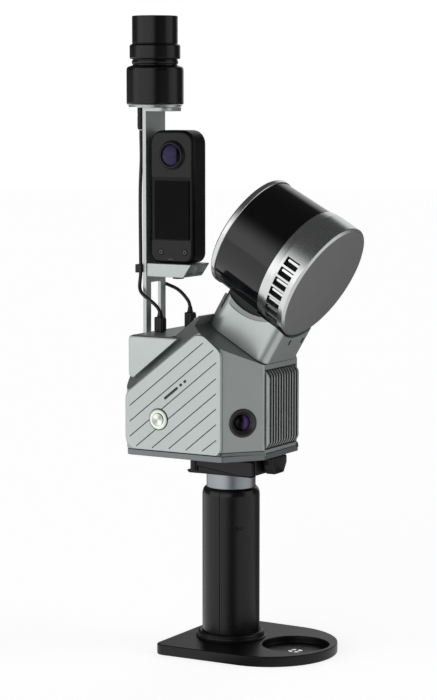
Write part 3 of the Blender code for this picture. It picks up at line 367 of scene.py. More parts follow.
def settle(obj):
    """Applies an object's modifiers to its mesh."""
    graph = bpy.context.evaluated_depsgraph_get()
    mesh = bpy.data.meshes.new_from_object(obj.evaluated_get(graph))
    obj.modifiers.clear()
    obj.data = mesh
    return obj


def cut(obj, *others, how="DIFFERENCE"):
    """Cuts the others out of obj, or adds them to it, and removes them."""
    for other in others:
        change = obj.modifiers.new("cut", "BOOLEAN")
        change.operation = how
        change.solver = "EXACT"
        change.object = other
    settle(obj)
    for other in others:
        bpy.data.objects.remove(other, do_unlink=True)
    return obj


def soften(obj, width, segments=3, angle=30):
    """Rounds the edges sharper than angle."""
    cleaned(obj.data)
    bevel = obj.modifiers.new("rounded edges", "BEVEL")
    bevel.width = width
    bevel.segments = segments
    bevel.limit_method = "ANGLE"
    bevel.angle_limit = math.radians(angle)
    bevel.miter_outer = "MITER_ARC"
    return settle(obj)


def dress(obj, finish, body, *replaced, flat_angle=35):
    """Gives a piece its material and shading, and fixes it to its body."""
    obj.data.materials.clear()
    obj.data.materials.append(finish.material)
    if obj.type == "MESH":
        obj.data.shade_smooth()
        obj.data.set_sharp_from_angle(angle=math.radians(flat_angle))
        even = obj.modifiers.new("even shading", "WEIGHTED_NORMAL")
        even.keep_sharp = True
    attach(obj, body)
    if replaced:
        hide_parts(*replaced)
    return obj


def inlay(obj, finish, chosen):
    """Gives a further material to the faces that chosen picks by their centre and normal."""
    obj.data.materials.append(finish.material)
    for face in obj.data.polygons:
        if chosen(face.center, face.normal):
            face.material_index = len(obj.data.materials) - 1
    return obj


def copied(node, name):
    """A free copy of a CAD node's shape, with its doubled points joined."""
    obj = bpy.data.objects.new(name, nodes[node].data.copy())
    scene.collection.objects.link(obj)
    cleaned(obj.data)
    obj.data.materials.clear()
    for attribute in [a.name for a in obj.data.attributes if a.name.startswith("custom_normal")]:
        obj.data.attributes.remove(obj.data.attributes[attribute])
    return obj


def refined(node, name, finish, body, width, segments=3, angle=30):
    """A CAD node's shape with rounded edges."""
    return dress(soften(copied(node, name), width, segments, angle), finish, body, node)


def tube(name, points, radius, finish, body, node):
    """A lead along a smooth curve."""
    curve = bpy.data.curves.new(name, "CURVE")
    curve.dimensions = "3D"
    curve.bevel_depth = radius
    curve.bevel_resolution = 5
    curve.use_fill_caps = True
    curve.resolution_u = 3
    spline = curve.splines.new("NURBS")
    spline.points.add(len(points) - 1)
    for point, place in zip(spline.points, points):
        point.co = (*place, 1)
    spline.order_u = 4
    spline.use_endpoint_u = True
    obj = bpy.data.objects.new(name, curve)
    scene.collection.objects.link(obj)
    curve.materials.append(finish.material)
    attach(obj, body)
    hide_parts(node)


def joined(name, *pieces):
    """Several separate shapes in one object."""
    work = bmesh.new()
    for piece in pieces:
        work.from_mesh(piece.data)
        bpy.data.objects.remove(piece, do_unlink=True)
    mesh = bpy.data.meshes.new(name)
    work.to_mesh(mesh)
    work.free()
    obj = bpy.data.objects.new(name, mesh)
    scene.collection.objects.link(obj)
    return obj


# Survey base

foot_low, foot_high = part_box("base_plate")
FOOT_T = foot_high.z
FOOT_CORNER_R = 0.0085
MARK_SPOT = Matrix.Translation((0.0614, 0, 0))  # the survey mark's pocket
MARK_R = 0.0278
MARK_FLOOR = 0.0031


def foot():
    outline = [
        *arc(foot_low.x + FOOT_CORNER_R, -0.0505, FOOT_CORNER_R, 180, 270, 10),
        *arc(0.0363, 0, 0.0572, -88, 88, 72),
        *arc(foot_low.x + FOOT_CORNER_R, 0.0505, FOOT_CORNER_R, 90, 180, 10),
    ]
    made = plate("survey_base", outline, 0, FOOT_T)
    recess = [(0, 0.0027), (0.0068, 0.0027), (0.0100, 0.0021), (0.0265, 0.0021), (0.0265, -0.01), (0, -0.01)]
    cut(made, drum("pocket", MARK_R, 0.02, MARK_FLOOR, MARK_SPOT), lathe("under", recess, MARK_SPOT))
    soften(made, 0.0009, 4, 50)
    cutters = []
    for turn in range(4):
        place = MARK_SPOT @ Matrix.Rotation(math.pi / 2 * turn, 4, "Z")
        quarter = [(0.0006, 0.0006), *arc(0, 0, 0.0060, 8, 82, 8)]
        cutters.append(plate("quarter", quarter, -0.01, 0.02, place))
        groove_low = (0.0062, -0.00035, MARK_FLOOR - 0.0004)
        cutters.append(block("groove", groove_low, (0.0262, 0.00035, 0.02), place))
    return dress(cut(made, *cutters), ANODISED, "stand", "base_plate")


foot()
collar_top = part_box("base_collar")[1].z
collar_profile = [
    (0.0243, collar_top - 0.0002),
    (0.0262, collar_top),
    (0.0272, collar_top - 0.0006),
    (0.0280, collar_top - 0.0021),
    (0.0280, FOOT_T + 0.0024),
    (0.0283, FOOT_T + 0.0014),
    (0.0294, FOOT_T + 0.0006),
    (0.0294, FOOT_T + HAIR),
    (0.0243, FOOT_T + HAIR),
]
collar_radii = [0, 0.0005, 0.0008, 0.0012, 0.0009, 0.0012, 0.0001, 0, 0]
collar = turned("base_collar_ring", collar_profile, collar_radii, IDENTITY, 96, ring=True)
dress(collar, ANODISED, "stand", "base_collar")

# Handle

_, grip_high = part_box("handle_shell_front")
GRIP_R = 0.0240
GRIP_IN = 0.0208
SEAM = 6.0  # degrees
SEAM_HALF = 0.55
SHOULDER_IN = 0.0035
SHOULDER_H = 0.0072
MARK_TURN = math.radians(-46)
MARK_Z = 0.1038
MARK_RELIEF = 0.00012


def handle():
    """Two half shells with a fine seam between them and a lock mark on the front one."""
    low = FOOT_T + HAIR
    top = grip_high.z
    shoulder = [math.radians(9 * i) for i in range(11)]
    bend = [
        (GRIP_R - SHOULDER_IN * (1 - math.sin(turn)), top - SHOULDER_H * (1 - math.cos(turn)))
        for turn in shoulder
    ]
    foot_end = [(GRIP_R, low + 0.0004), (GRIP_R - 0.0004, low), (GRIP_IN, low)]
    profile = [(GRIP_IN, top - 0.0003), *bend[1:], *foot_end]
    for name, node, start in (
        ("handle_half_front", "handle_shell_front", SEAM - 90),
        ("handle_half_rear", "handle_shell_rear", SEAM + 90),
    ):
        half = lathe(name, profile, sides=72, ring=True, start=start + SEAM_HALF, sweep=180 - 2 * SEAM_HALF)
        dress(half, GRIP, "stand", node)
    arrow = [
        [(-0.0044, 0), (-0.0004, 0.0023), (0.0000, 0.0009), (0.0000, -0.0009), (-0.0004, -0.0023)],
        [(0.0000, 0.0006), (0.0044, 0.0015), (0.0044, 0.0007), (0.0000, 0.0000)],
        [(0.0000, 0.0000), (0.0044, -0.0007), (0.0044, -0.0015), (0.0000, -0.0006)],
    ]
    work = bmesh.new()
    for shape in arrow:
        inner = [work.verts.new((x, z, -MARK_RELIEF)) for x, z in shape]
        outer = [work.verts.new((x, z, MARK_RELIEF)) for x, z in shape]
        work.faces.new(inner)
        work.faces.new(outer)
        for i in range(len(shape)):
            j = (i + 1) % len(shape)
            work.faces.new((inner[i], inner[j], outer[j], outer[i]))
    bmesh.ops.subdivide_edges(work, edges=work.edges, cuts=3, use_grid_fill=True)
    for vert in work.verts:
        along, up, out = vert.co
        angle = MARK_TURN + along / GRIP_R
        vert.co = ((GRIP_R + out) * math.cos(angle), (GRIP_R + out) * math.sin(angle), MARK_Z + up)
    dress(add("handle_lock_mark", work), MATT_BLACK_AND_PAINTED_SHADE, "stand")


handle()
neck_low, neck_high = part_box("neck_tube")
neck_profile = [(0.0165, neck_high.z), (0.0205, neck_high.z), (0.0205, neck_low.z), (0.0165, neck_low.z)]
neck = turned("neck_sleeve", neck_profile, [0, 0.0005, 0.0005, 0], IDENTITY, 96, 3, ring=True)
dress(neck, NECK, "stand", "neck_tube")

# Quick release


def clamp():
    """The clamp body, with the wedge that fills its near side below the slanting lever."""
    made = soften(copied("quick_release_body", "quick_release_clamp"), 0.0010, 3, 40)
    low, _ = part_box("quick_release_body")
    pivot_x = centre_of("quick_release_pin")[0]
    lever_low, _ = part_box("quick_release_lever")
    near, far = -lever_low.y - 0.0001, 0.0205
    under = [
        (pivot_x - 0.0062, low.z),
        (0.0350, low.z),
        (0.0350, 0.1499),
        (pivot_x + 0.0440, 0.1502),
        (pivot_x + 0.0046, 0.1553),
        (pivot_x + 0.0044, 0.1519),
        (pivot_x - 0.0062, 0.1519),
    ]
    radii = [0.0022, 0.0003, 0.0003, 0.001, 0.0005, 0.0003, 0.0003]
    wedge = plate("wedge", rounded(under, radii, 5), far, near, UPRIGHT)
    soften(wedge, 0.0004, 2, 50)
    cut(made, wedge, how="UNION")
    return dress(made, ANODISED, "stand", "quick_release_body")


clamp()


def lever():
    """The lever's slanted plate with the knuckle that turns on its pin."""
    made = soften(copied("quick_release_lever", "quick_release_arm"), 0.0008, 3, 40)
    x, y, _ = centre_of("quick_release_pin")
    ring = [(0.0017, 0.1618), (0.0038, 0.1618), (0.0038, 0.1521), (0.0017, 0.1521)]
    radii = [0, 0.0006, 0.0006, 0]
    cut(made, turned("knuckle", ring, radii, Matrix.Translation((x, y, 0)), 48, 3, ring=True), how="UNION")
    return dress(made, SOFT_BLACK, "release_lever", "quick_release_lever")


lever()


def latch():
    """Push latch whose front face dishes in to its middle, leaving an X of four facets."""
    low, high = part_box("quick_release_latch")
    front = high.x
    rear = front - 0.0085
    top, middle, bottom, bottom_half = 0.1646, 0.1583, 0.1503, 0.0078
    left = [(low.y, top), (low.y, middle), (-bottom_half, bottom)]
    right = [(bottom_half, bottom), (high.y, middle), (high.y, top)]
    made = plate("release_push_latch", rounded(left + right, 0.0016, 4), rear, front, FORWARD)
    work = bmesh.new()
    work.from_mesh(made.data)
    face = max(work.faces, key=lambda f: f.calc_center_median().x)
    bmesh.ops.inset_individual(work, faces=[face], thickness=0.0010)
    for vert in bmesh.ops.poke(work, faces=[face])["verts"]:
        vert.co.x -= 0.0026
    work.to_mesh(made.data)
    work.free()
    soften(made, 0.0009, 3, 30)
    stem = block("stem", (low.x, -0.0048, 0.1536), (rear + 0.002, 0.0048, 0.1614))
    return dress(cut(made, stem, how="UNION"), SOFT_BLACK, "release_latch", "quick_release_latch")


latch()

# Body: the cover's rim rises at the two front chamfers, and the housing is cut back above it

COVER_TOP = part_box("bottom_cover")[1].z
RISE = 0.0026
CHAMFER_LOW = Vector((0.0235, -0.0563))
CHAMFER_HIGH = Vector((0.0469, -0.0285))


def rise_block(name, side, grow, z_low):
    """The raised part of the rim over one chamfer, with sloping ends."""
    run = (CHAMFER_HIGH - CHAMFER_LOW).normalized()
    across = Vector((run.y, -run.x))
    length = (CHAMFER_HIGH - CHAMFER_LOW).length
    slope = 0.0026
    shape = [
        (-slope - grow, z_low),
        (0.0002 - grow, COVER_TOP + RISE + grow),
        (length - 0.0002 + grow, COVER_TOP + RISE + grow),
        (length + slope + grow, z_low),
    ]
    place = Matrix(
        (
            (run.x, 0, across.x, CHAMFER_LOW.x),
            (run.y, 0, across.y, CHAMFER_LOW.y),
            (0, 1, 0, 0),
            (0, 0, 0, 1),
        )
    )
    made = plate(name, shape, -0.008, 0.0009 if grow == 0 else 0.01, place)
    if side > 0:
        made.data.transform(Matrix.Scale(-1, 4, (0, 1, 0)))
        made.data.flip_normals()
    return made


def housing():
    made = copied("main_housing", "scanner_housing")
    cut(made, *[rise_block("cutter", side, 0.0004, COVER_TOP - 0.002) for side in (-1, 1)])
    soften(made, 0.0011, 4, 22)
    dress(made, PAINT_GREY, "stand", "main_housing", flat_angle=40)
    # Painted shade: the faces turned up along the turntable axis take the darker paint
    return inlay(made, PAD_PAINTED_SHADE, lambda c, n: n.dot(head_up) > 0.97)


def cover():
    made = copied("bottom_cover", "housing_bottom_cover")
    cut(made, *[rise_block("rise", side, 0.0, COVER_TOP - 0.001) for side in (-1, 1)], how="UNION")
    soften(made, 0.0007, 3, 30)
    return dress(made, COVER, "stand", "bottom_cover")


housing()
cover()

# Side panels with slanting grooves

POWER = Vector((-0.0347, 0, 0.1968))
GROOVES = [
    ((-0.0623, 0.2064), (0.0077, 0.2620)),
    ((-0.0624, 0.1933), (0.0173, 0.2567)),
    ((-0.0625, 0.1807), (0.0201, 0.2468)),
    ((-0.0564, 0.1730), (0.0198, 0.2337)),
    ((-0.0409, 0.1727), (0.0198, 0.2215)),
    ((-0.0249, 0.1732), (0.0198, 0.2091)),
    ((-0.0088, 0.1731), (0.0198, 0.1964)),
    ((0.0067, 0.1736), (0.0201, 0.1837)),
]
PANEL = [(-0.0671, 0.1706), (0.0242, 0.1706), (0.0242, 0.2555), (0.0040, 0.2711), (-0.0671, 0.2160)]
PANEL_R = [0.0100, 0.0060, 0.0100, 0.0105, 0.0090]
GROOVE_HALF = 0.00042
GROOVE_DEPTH = 0.0007
BUTTON_HOLE_R = 0.0086
PRINT_HALF = 0.0011


def side_panel(side, node, name):
    low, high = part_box(node)
    outline = rounded(PANEL, PANEL_R, 8)
    made = plate(name, outline, -high.y, -low.y, UPRIGHT)
    if side < 0:
        place = Matrix.Translation((POWER.x, 0, POWER.z)) @ UPRIGHT
        cut(made, drum("hole", BUTTON_HOLE_R, 0.1, 0.0, place, 64))
    soften(made, 0.0011, 4, 50)
    outer = low.y if side < 0 else high.y
    cutters = []
    for start, end in GROOVES:
        run = Vector(end) - Vector(start)
        bar = rounded(rectangle(0, -GROOVE_HALF, run.length, GROOVE_HALF), GROOVE_HALF * 0.98, 3)
        turn = Matrix.Rotation(math.atan2(run.y, run.x), 4, "Z")
        place = UPRIGHT @ Matrix.Translation((*start, 0)) @ turn
        cutters.append(plate("groove", bar, -outer - GROOVE_DEPTH, -outer + GROOVE_DEPTH, place))
    dress(cut(made, *cutters), PAINT_LIGHT, "stand", node)
    face = abs(outer)
    # Painted shade: the groove floors take the darker paint
    inlay(made, GROOVE_PAINTED_SHADE, lambda c, n: face - 0.0009 < abs(c.y) < face - 0.0002 and inside_panel(c))


def inside_panel(spot):
    """Whether a spot lies well inside the panel's outline and away from the button's hole."""
    near_button = math.hypot(spot.x - POWER.x, spot.z - POWER.z) < BUTTON_HOLE_R + 0.0006
    below_slant = spot.z < 0.2145 + (spot.x + 0.0671) * 0.775
    return -0.0655 < spot.x < 0.0228 and spot.z > 0.1718 and below_slant and not near_button


side_panel(-1, "side_panel_right", "side_panel_near")
side_panel(1, "side_panel_left", "side_panel_far")

# Plain dark bar in place of lettering, along the grooves


def print_bar():
    low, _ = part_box("side_panel_right")
    run = Vector(GROOVES[1][1]) - Vector(GROOVES[1][0])
    turn = Matrix.Rotation(math.atan2(run.y, run.x), 4, "Z")
    place = UPRIGHT @ Matrix.Translation((-0.0290, 0.2140, 0)) @ turn
    pieces = []
    for start, end in ((0.0, 0.0165), (0.0185, 0.0215), (0.0235, 0.0265)):
        bar = rounded(rectangle(start, -PRINT_HALF, end, PRINT_HALF), PRINT_HALF * 0.98, 4)
        pieces.append(plate("bar", bar, -low.y - 0.0001, -low.y + 0.00006, place))
    dress(joined("panel_print_bars", *pieces), PRINT, "stand")


print_bar()

# Power button: bezel, lit ring and brushed cap


def turned_steel_painted_highlight():
    """Turned steel: fine rings, and two painted highlight fans opposite each other in its colour."""
    made = Finish("turned_cap_steel_painted_highlight", (0.66, 0.69, 0.62), 0.28, 1.0, "steel")
    made.shader.inputs["Anisotropic"].default_value = 0.85
    tangent = made.node("ShaderNodeTangent", direction_type="RADIAL", axis="Y")
    made.link(tangent.outputs["Tangent"], made.shader.inputs["Tangent"])
    centred = made.stretched((1, 1, 1), (-POWER.x, 0, -POWER.z))
    rings = made.node("ShaderNodeTexWave", wave_type="RINGS", rings_direction="Y", Scale=900)
    made.link(centred, rings.inputs["Vector"])
    made.bumped(rings.outputs["Fac"], 0.2, 0.00001)
    parts = made.node("ShaderNodeSeparateXYZ")
    made.link(centred, parts.inputs[0])
    around = made.node("ShaderNodeMath", operation="ARCTAN2")
    made.link(parts.outputs["Z"], around.inputs[0])
    made.link(parts.outputs["X"], around.inputs[1])
    twice = made.node("ShaderNodeMath", operation="MULTIPLY_ADD")
    twice.inputs[1].default_value = 2.0
    twice.inputs[2].default_value = 1.9  # turns the painted highlight fans
    made.link(around.outputs[0], twice.inputs[0])
    wave = made.node("ShaderNodeMath", operation="COSINE")
    made.link(twice.outputs[0], wave.inputs[0])
    # Painted highlight: the base colour brightens in two opposite fans, standing in for the brushed cap's
    # reflection
    made.tinted(made.ranged(wave.outputs[0], 0, 1, -1, 1), 0.42, (0.90, 0.91, 0.88))
    return made


BEZEL = brushed("button_bezel", (0.62, 0.66, 0.58), 0.3, (1, 1, 1))
CAP_STEEL_PAINTED_HIGHLIGHT = turned_steel_painted_highlight()


def power_button():
    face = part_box("side_panel_right")[0].y
    place = Matrix.Translation((POWER.x, face, POWER.z)) @ UPRIGHT
    bezel = [(0.0071, 0.0006), (0.0080, 0.0007), (0.0084, 0.0002), (0.0084, -0.0024), (0.0071, -0.0024)]
    made = turned("power_bezel", bezel, [0, 0.0003, 0.0003, 0, 0], place, 64, 3, ring=True)
    dress(made, BEZEL, "stand", "power_button_bezel")
    glow = [(0.0056, 0.0009), (0.0062, 0.0012), (0.0071, 0.0008), (0.0071, -0.001), (0.0056, -0.001)]
    made = turned("power_ring_light", glow, [0, 0.0004, 0.0003, 0, 0], place, 64, 3, ring=True)
    dress(made, GLOW, "stand")
    cap = [(0, 0.0011), (0.0048, 0.0015), (0.0055, 0.0009), (0.0055, -0.0055), (0, -0.0055)]
    made = turned("power_cap", cap, [0, 0.0006, 0.0003, 0, 0], place)
    dress(made, CAP_STEEL_PAINTED_HIGHLIGHT, "power_button", "power_button_cap")


power_button()

# Heat sink


def heat_sink():
    """A block whose fins stand proud of the front wall and bend back at both ends."""
    low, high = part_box("heat_sink")
    front = high.x
    root = front - 0.0032
    rise = 0.0050
    margin = 0.0004
    base = block("heat_sink_block", (low.x, low.y, low.z), (root - 0.0036, high.y, high.z))
    pitch = 0.00443
    slot_half = 0.00115
    edges = [low.y + margin]
    for number in range(-5, 6):
        edges += [number * pitch - slot_half, number * pitch + slot_half]
    edges.append(high.y - margin)
    side = [
        (root - 0.0040, low.z + margin),
        (root, low.z + margin),
        (front, low.z + rise),
        (front, high.z - rise),
        (root, high.z - margin),
        (root - 0.0040, high.z - margin),
    ]
    outline = rounded(side, [0, 0.003, 0.005, 0.005, 0.003, 0], 5)
    fins = []
    for first, second in zip(edges[::2], edges[1::2]):
        fin = plate("fin", outline, -second, -first, UPRIGHT)
        fins.append(soften(fin, 0.0005, 3, 50))
    made = dress(joined("heat_sink_fins", base, *fins), PAINT_FINS, "stand", "heat_sink")
    # Painted shade: the fins' flanks and the block behind them take the dark paint
    inlay(made, SLOT_PAINTED_SHADE, lambda c, n: (abs(n.y) > 0.9 and abs(c.y) < 0.0250) or c.x < root - 0.003)


heat_sink()

# Mapping cameras in the chamfers


def lens_painted_reflection(name, centre, across, purple, dark=(0.004, 0.003, 0.006)):
    """Coated glass with a painted reflection: its colour turns purple towards the side that across points to.
    """
    made = Finish(name, dark, 0.10, 0.0, "lens_glass").dulled(0.12)
    offset = made.node("ShaderNodeVectorMath", operation="SUBTRACT")
    offset.inputs[1].default_value = centre
    made.link(made.coords, offset.inputs[0])
    dot = made.node("ShaderNodeVectorMath", operation="DOT_PRODUCT")
    dot.inputs[1].default_value = Vector(across).normalized() / Vector(across).length
    made.link(offset.outputs["Vector"], dot.inputs[0])
    made.blended(made.ranged(dot.outputs["Value"], 0, 1, -0.05, 0.30), dark, purple)
    return made


def mapping_camera(side, hand):
    run = (CHAMFER_HIGH - CHAMFER_LOW).normalized()
    normal = Vector((abs(run.y), side * abs(run.x), 0))
    middle = (CHAMFER_LOW + CHAMFER_HIGH) / 2
    spot = Vector((middle.x, side * abs(middle.y), centre_of(f"mapping_camera_bezel_{hand}")[2]))
    place = Matrix.Translation(spot) @ normal.to_track_quat("Z", "Y").to_matrix().to_4x4()
    ring = [
        (0.0118, -0.0006),
        (0.0118, 0.0006),
        (0.0112, 0.0012),
        (0.0100, 0.0012),
        (0.0096, 0.0008),
        (0.0080, -0.0010),
        (0.0078, -0.0016),
        (0.0070, -0.0022),
        (0.0070, -0.0030),
        (0.0105, -0.0030),
        (0.0105, -0.0006),
    ]
    made = turned(f"mapping_ring_{hand}", ring, 0.00015, place, 64, 2, ring=True)
    dress(made, BEZEL_BLACK, "stand", f"mapping_camera_bezel_{hand}")
    across = Vector((0, 0, 1)).cross(normal) * (1 if side < 0 else -1)
    # Painted reflection: the lens glass turns purple towards one side
    glass = lens_painted_reflection(f"coated_lens_painted_reflection_{hand}", spot, across * 0.006, (0.10, 0.048, 0.19))
    dome = [(0, 0.0002), (0.002, 0.0000), (0.004, -0.0008), (0.0058, -0.0020), (0.0066, -0.0030)]
    dome += [(0.0066, -0.008), (0, -0.008)]
    made = turned(f"mapping_lens_{hand}", dome, [0, 0.004, 0.004, 0.002, 0.0004, 0, 0], place)
    dress(made, glass, "stand", f"mapping_camera_lens_{hand}")


mapping_camera(-1, "right")
mapping_camera(1, "left")

# Rear housing

refined("rear_housing", "rear_antenna_housing", PAINT_LIGHT, "stand", 0.0007, 3, 35)

# Head


FRONT_SLOTS = (-0.0030, 0.0186)


def saddle():
    """The saddle: hollowed for the laser unit, dished on both flanks, with two slots in front."""
    rear, front, half_y, top = -0.0355, 0.0305, 0.0300, 0.0330
    outline = rounded(rectangle(rear, -half_y, front, half_y), [0.018, 0.009, 0.009, 0.018], 12)
    made = plate("head_saddle", outline, 0.0005, top)
    along = Matrix.Translation((0, 0, LASER_H)) @ Matrix.Rotation(math.pi / 2, 4, "Y")
    across = Matrix.Rotation(math.pi / 2, 4, "X")
    hollow = drum("hollow", 0.0533, 0.1, -0.1, along, 128)
    dip = drum("dip", 0.042, 0.1, -0.1, Matrix.Translation((-0.0090, 0, 0.0705)) @ across, 128)
    pocket = block("pocket", (-0.0288, -0.0275, 0.0180), (0.0273, 0.0275, 0.05))
    cut(made, hollow, dip)
    profile = rounded(rectangle(rear, 0, front, top), [0, 0, 0.0015, 0.0070], 8)
    cut(made, plate("side", profile, -0.05, 0.05, UPRIGHT), how="INTERSECT")
    cut(made, pocket)
    soften(made, 0.0009, 4, 35)
    cutters = []
    for side in (-1, 1):
        place = Matrix.Translation((-0.0105, side * 0.0347, 0.0705)) @ across
        cutters.append(drum("band", 0.0462, 0.0056, -0.0056, place, 128))
    for y in FRONT_SLOTS:
        cutters.append(block("slot", (0.0276, y - 0.0013, 0.0168), (0.04, y + 0.0013, 0.0216)))
    cut(made, *cutters)
    dress(made, PAINT_HEAD, "head", "swivel_housing", flat_angle=40)
    # Painted shade: the faces inside the two front slots take the matt black
    inlay(made, MATT_BLACK_AND_PAINTED_SHADE, lambda c, n: 0.0270 < c.x < 0.0304 and 0.0167 < c.z < 0.0217 and abs(c.y) < 0.0204)
    # Painted shade: the recessed band floors on both flanks take the darker paint
    inlay(made, RECESS_PAINTED_SHADE, lambda c, n: abs(n.y) > 0.98 and 0.0280 < abs(c.y) < 0.0296 and c.z > 0.0235)
    made.data.transform(HEAD)


saddle()
refined("laser_seat", "laser_cradle", ANODISED, "head", 0.0006, 3, 40)

# Laser unit

LASER_R = 0.0515
WINDOW_R = 0.0500
WINDOW_REAR_R = 0.0484
BAND_L = 0.0270
LENGTH = 0.0790
RING_L = 0.0045
SLOTS = 8  # on each flank
SLOT_PITCH = 10.4  # degrees


def laser_band():
    """End cap and band, with cooling slots in the band on both flanks."""
    base = [
        (0, 0.0013),
        (LASER_R - 0.0026, 0.0013),
        (LASER_R - 0.0002, 0.0000),
        (LASER_R, -0.0006),
        (LASER_R, -0.0200),
        (LASER_R - 0.0003, -0.0218),
        (WINDOW_R + 0.0006, -BAND_L + 0.0004),
        (WINDOW_R + 0.0002, -BAND_L),
        (WINDOW_R - 0.0035, -BAND_L),
        (WINDOW_R - 0.0035, -0.012),
        (0, -0.012),
    ]
    radii = [0, 0.0004, 0.0003, 0.0003, 0.002, 0.002, 0.0003, 0.0002, 0, 0, 0]
    made = turned("laser_band", base, radii, IDENTITY, 192)
    cutters = []
    bars = []
    for number in range(SLOTS):
        for flank in (1, -1):
            turn = math.radians(16 - SLOT_PITCH * number)
            spot = Matrix.Rotation(-math.pi / 2 * flank - turn * flank, 4, "Z")
            cutters.append(block("slot", (0.0468, -0.0037, -0.0176), (0.06, 0.0037, -0.0049), spot))
            upper = sorted((flank * -0.0024, flank * -0.0004))
            outline = rounded(rectangle(-0.0160, upper[0], -0.0030, upper[1]), [0.0009, 0, 0, 0.0009], 4)
            bars.append(plate("bar", outline, 0.0462, 0.0505, spot @ OUTWARD))
    cut(made, *cutters)
    made.data.transform(LASER)
    dress(made, BAND, "head", "laser_base", flat_angle=20)
    grille = joined("laser_band_bars", *bars)
    grille.data.transform(LASER)
    dress(grille, BAR_BRIGHT, "head")
    liner = [(0.0474, -0.0045), (0.0474, -0.0185), (0.0464, -0.0185), (0.0464, -0.0045)]
    # Painted shade: a dark liner behind the band's slots, standing in for the shadow inside them
    dress(lathe("laser_band_painted_shade_liner", liner, LASER, ring=True), MATT_BLACK_AND_PAINTED_SHADE, "head")
    dress(drum("laser_end_disc", LASER_R - 0.0028, 0.00135, 0.0010, LASER, 128), LASER_CAP, "head")


def laser_window():
    window_end = -LENGTH + RING_L
    shell = [
        (WINDOW_REAR_R - 0.0025, window_end + HAIR),
        (WINDOW_R - 0.0025, -BAND_L - HAIR),
        (WINDOW_R, -BAND_L - HAIR),
        (WINDOW_REAR_R, window_end + HAIR),
    ]
    dress(lathe("laser_dome_window", shell, LASER, 192, ring=True), GLASS, "head", "laser_window")
    lid = [
        (0, window_end - 0.0002),
        (WINDOW_REAR_R - 0.0012, window_end - 0.0002),
        (WINDOW_REAR_R - 0.0010, window_end + 0.0006),
        (WINDOW_REAR_R + 0.0004, window_end + 0.0006),
        (WINDOW_REAR_R + 0.0008, window_end + 0.0002),
        (WINDOW_REAR_R + 0.0008, -LENGTH + 0.0012),
        (WINDOW_REAR_R - 0.0004, -LENGTH),
        (WINDOW_REAR_R - 0.0060, -LENGTH),
        (WINDOW_REAR_R - 0.0064, -LENGTH + 0.0006),
        (0, -LENGTH + 0.0006),
    ]
    radii = [0, 0, 0, 0.0002, 0.0002, 0.0008, 0.0008, 0.0002, 0.0002, 0]
    dress(turned("laser_top_lid", lid, radii, LASER, 192), BAND, "head", "laser_top_cap")


laser_band()
laser_window()

# Mast, antenna and leads

refined("mast_bracket", "antenna_mast", PAINT_LIGHT, "stand", 0.0005, 2, 40)


def antenna():
    low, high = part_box("antenna_radome")
    place = Matrix.Translation((centre_of("antenna_radome")[0], 0, 0))
    top = high.z
    outer = [
        (0, top),
        (0.0186, top),
        (0.0191, top - 0.0006),
        (0.0191, 0.5034),
        (0.0189, 0.5031),
        (0.0189, 0.5026),
        (0.0204, 0.5019),
        (0.0212, 0.5010),
        (0.0212, 0.4912),
        (0.0207, 0.4902),
        (0.0190, 0.4899),
        (0.0186, 0.4896),
        (0.0186, 0.4892),
        (0.0193, 0.4888),
        (0.0194, 0.4875),
        (0.0193, 0.4862),
        (0.0186, 0.4858),
        (0.0186, 0.4850),
        (0.0226, 0.4836),
        (0.0236, 0.4827),
        (0.0239, 0.4805),
        (0.0239, low.z + 0.0014),
        (0.0234, low.z),
        (0.0168, low.z),
        (0.0168, top - 0.003),
        (0, top - 0.003),
    ]
    radii = [0, 0.0006, 0.0006, 0.0003, 0.0002, 0.0003, 0.0008, 0.0008, 0.0008, 0.0008]
    radii += [0.0003, 0.0002, 0.0002, 0.0006, 0.0006, 0.0006, 0.0002, 0.0003, 0.0012]
    radii += [0.0014, 0.002, 0.0006, 0.0006, 0, 0, 0]
    dress(turned("antenna_housing", outer, radii, place, 128), RADOME, "stand", "antenna_radome")
    ring_low, ring_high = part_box("antenna_base_ring")
    z0, z1 = ring_low.z, ring_high.z
    ring = [(0, z1), (0.0225, z1), (0.0225, z1 - 0.0005), (0.0219, z1 - 0.0007)]
    ring += [(0.0222, z0 + 0.0003), (0.0220, z0), (0, z0)]
    radii = [0, 0.0002, 0.0002, 0.0001, 0.0002, 0.0002, 0]
    dress(turned("antenna_ring", ring, radii, place, 96, 2), RING, "stand", "antenna_base_ring")


antenna()

# Both leads run down the mast's edges alike, given here for +Y, then each bends to its own plug
LEAD_DOWN = [
    (-0.0795, 0.0125, 0.4312),
    (-0.0795, 0.0126, 0.4270),
    (-0.0786, 0.0136, 0.4080),
    (-0.0788, 0.0150, 0.3850),
    (-0.0788, 0.0153, 0.3600),
    (-0.0786, 0.0153, 0.3300),
    (-0.0786, 0.0153, 0.3120),
]
LEAD_BENDS = {
    "right": [
        (-0.0788, -0.0168, 0.3010),
        (-0.0755, -0.0194, 0.2960),
        (-0.0690, -0.0205, 0.2918),
        (-0.0608, -0.0222, 0.2872),
        (-0.0552, -0.0242, 0.2832),
        (-0.0537, -0.0250, 0.2805),
        (-0.0537, -0.0250, 0.2782),
    ],
    "left": [
        (-0.0786, 0.0178, 0.3030),
        (-0.0740, 0.0199, 0.3003),
        (-0.0640, 0.0203, 0.2965),
        (-0.0565, 0.0201, 0.2907),
        (-0.0520, 0.0200, 0.2850),
        (-0.0515, 0.0200, 0.2815),
        (-0.0515, 0.0200, 0.2785),
    ],
}
LEAD_R = 0.0015


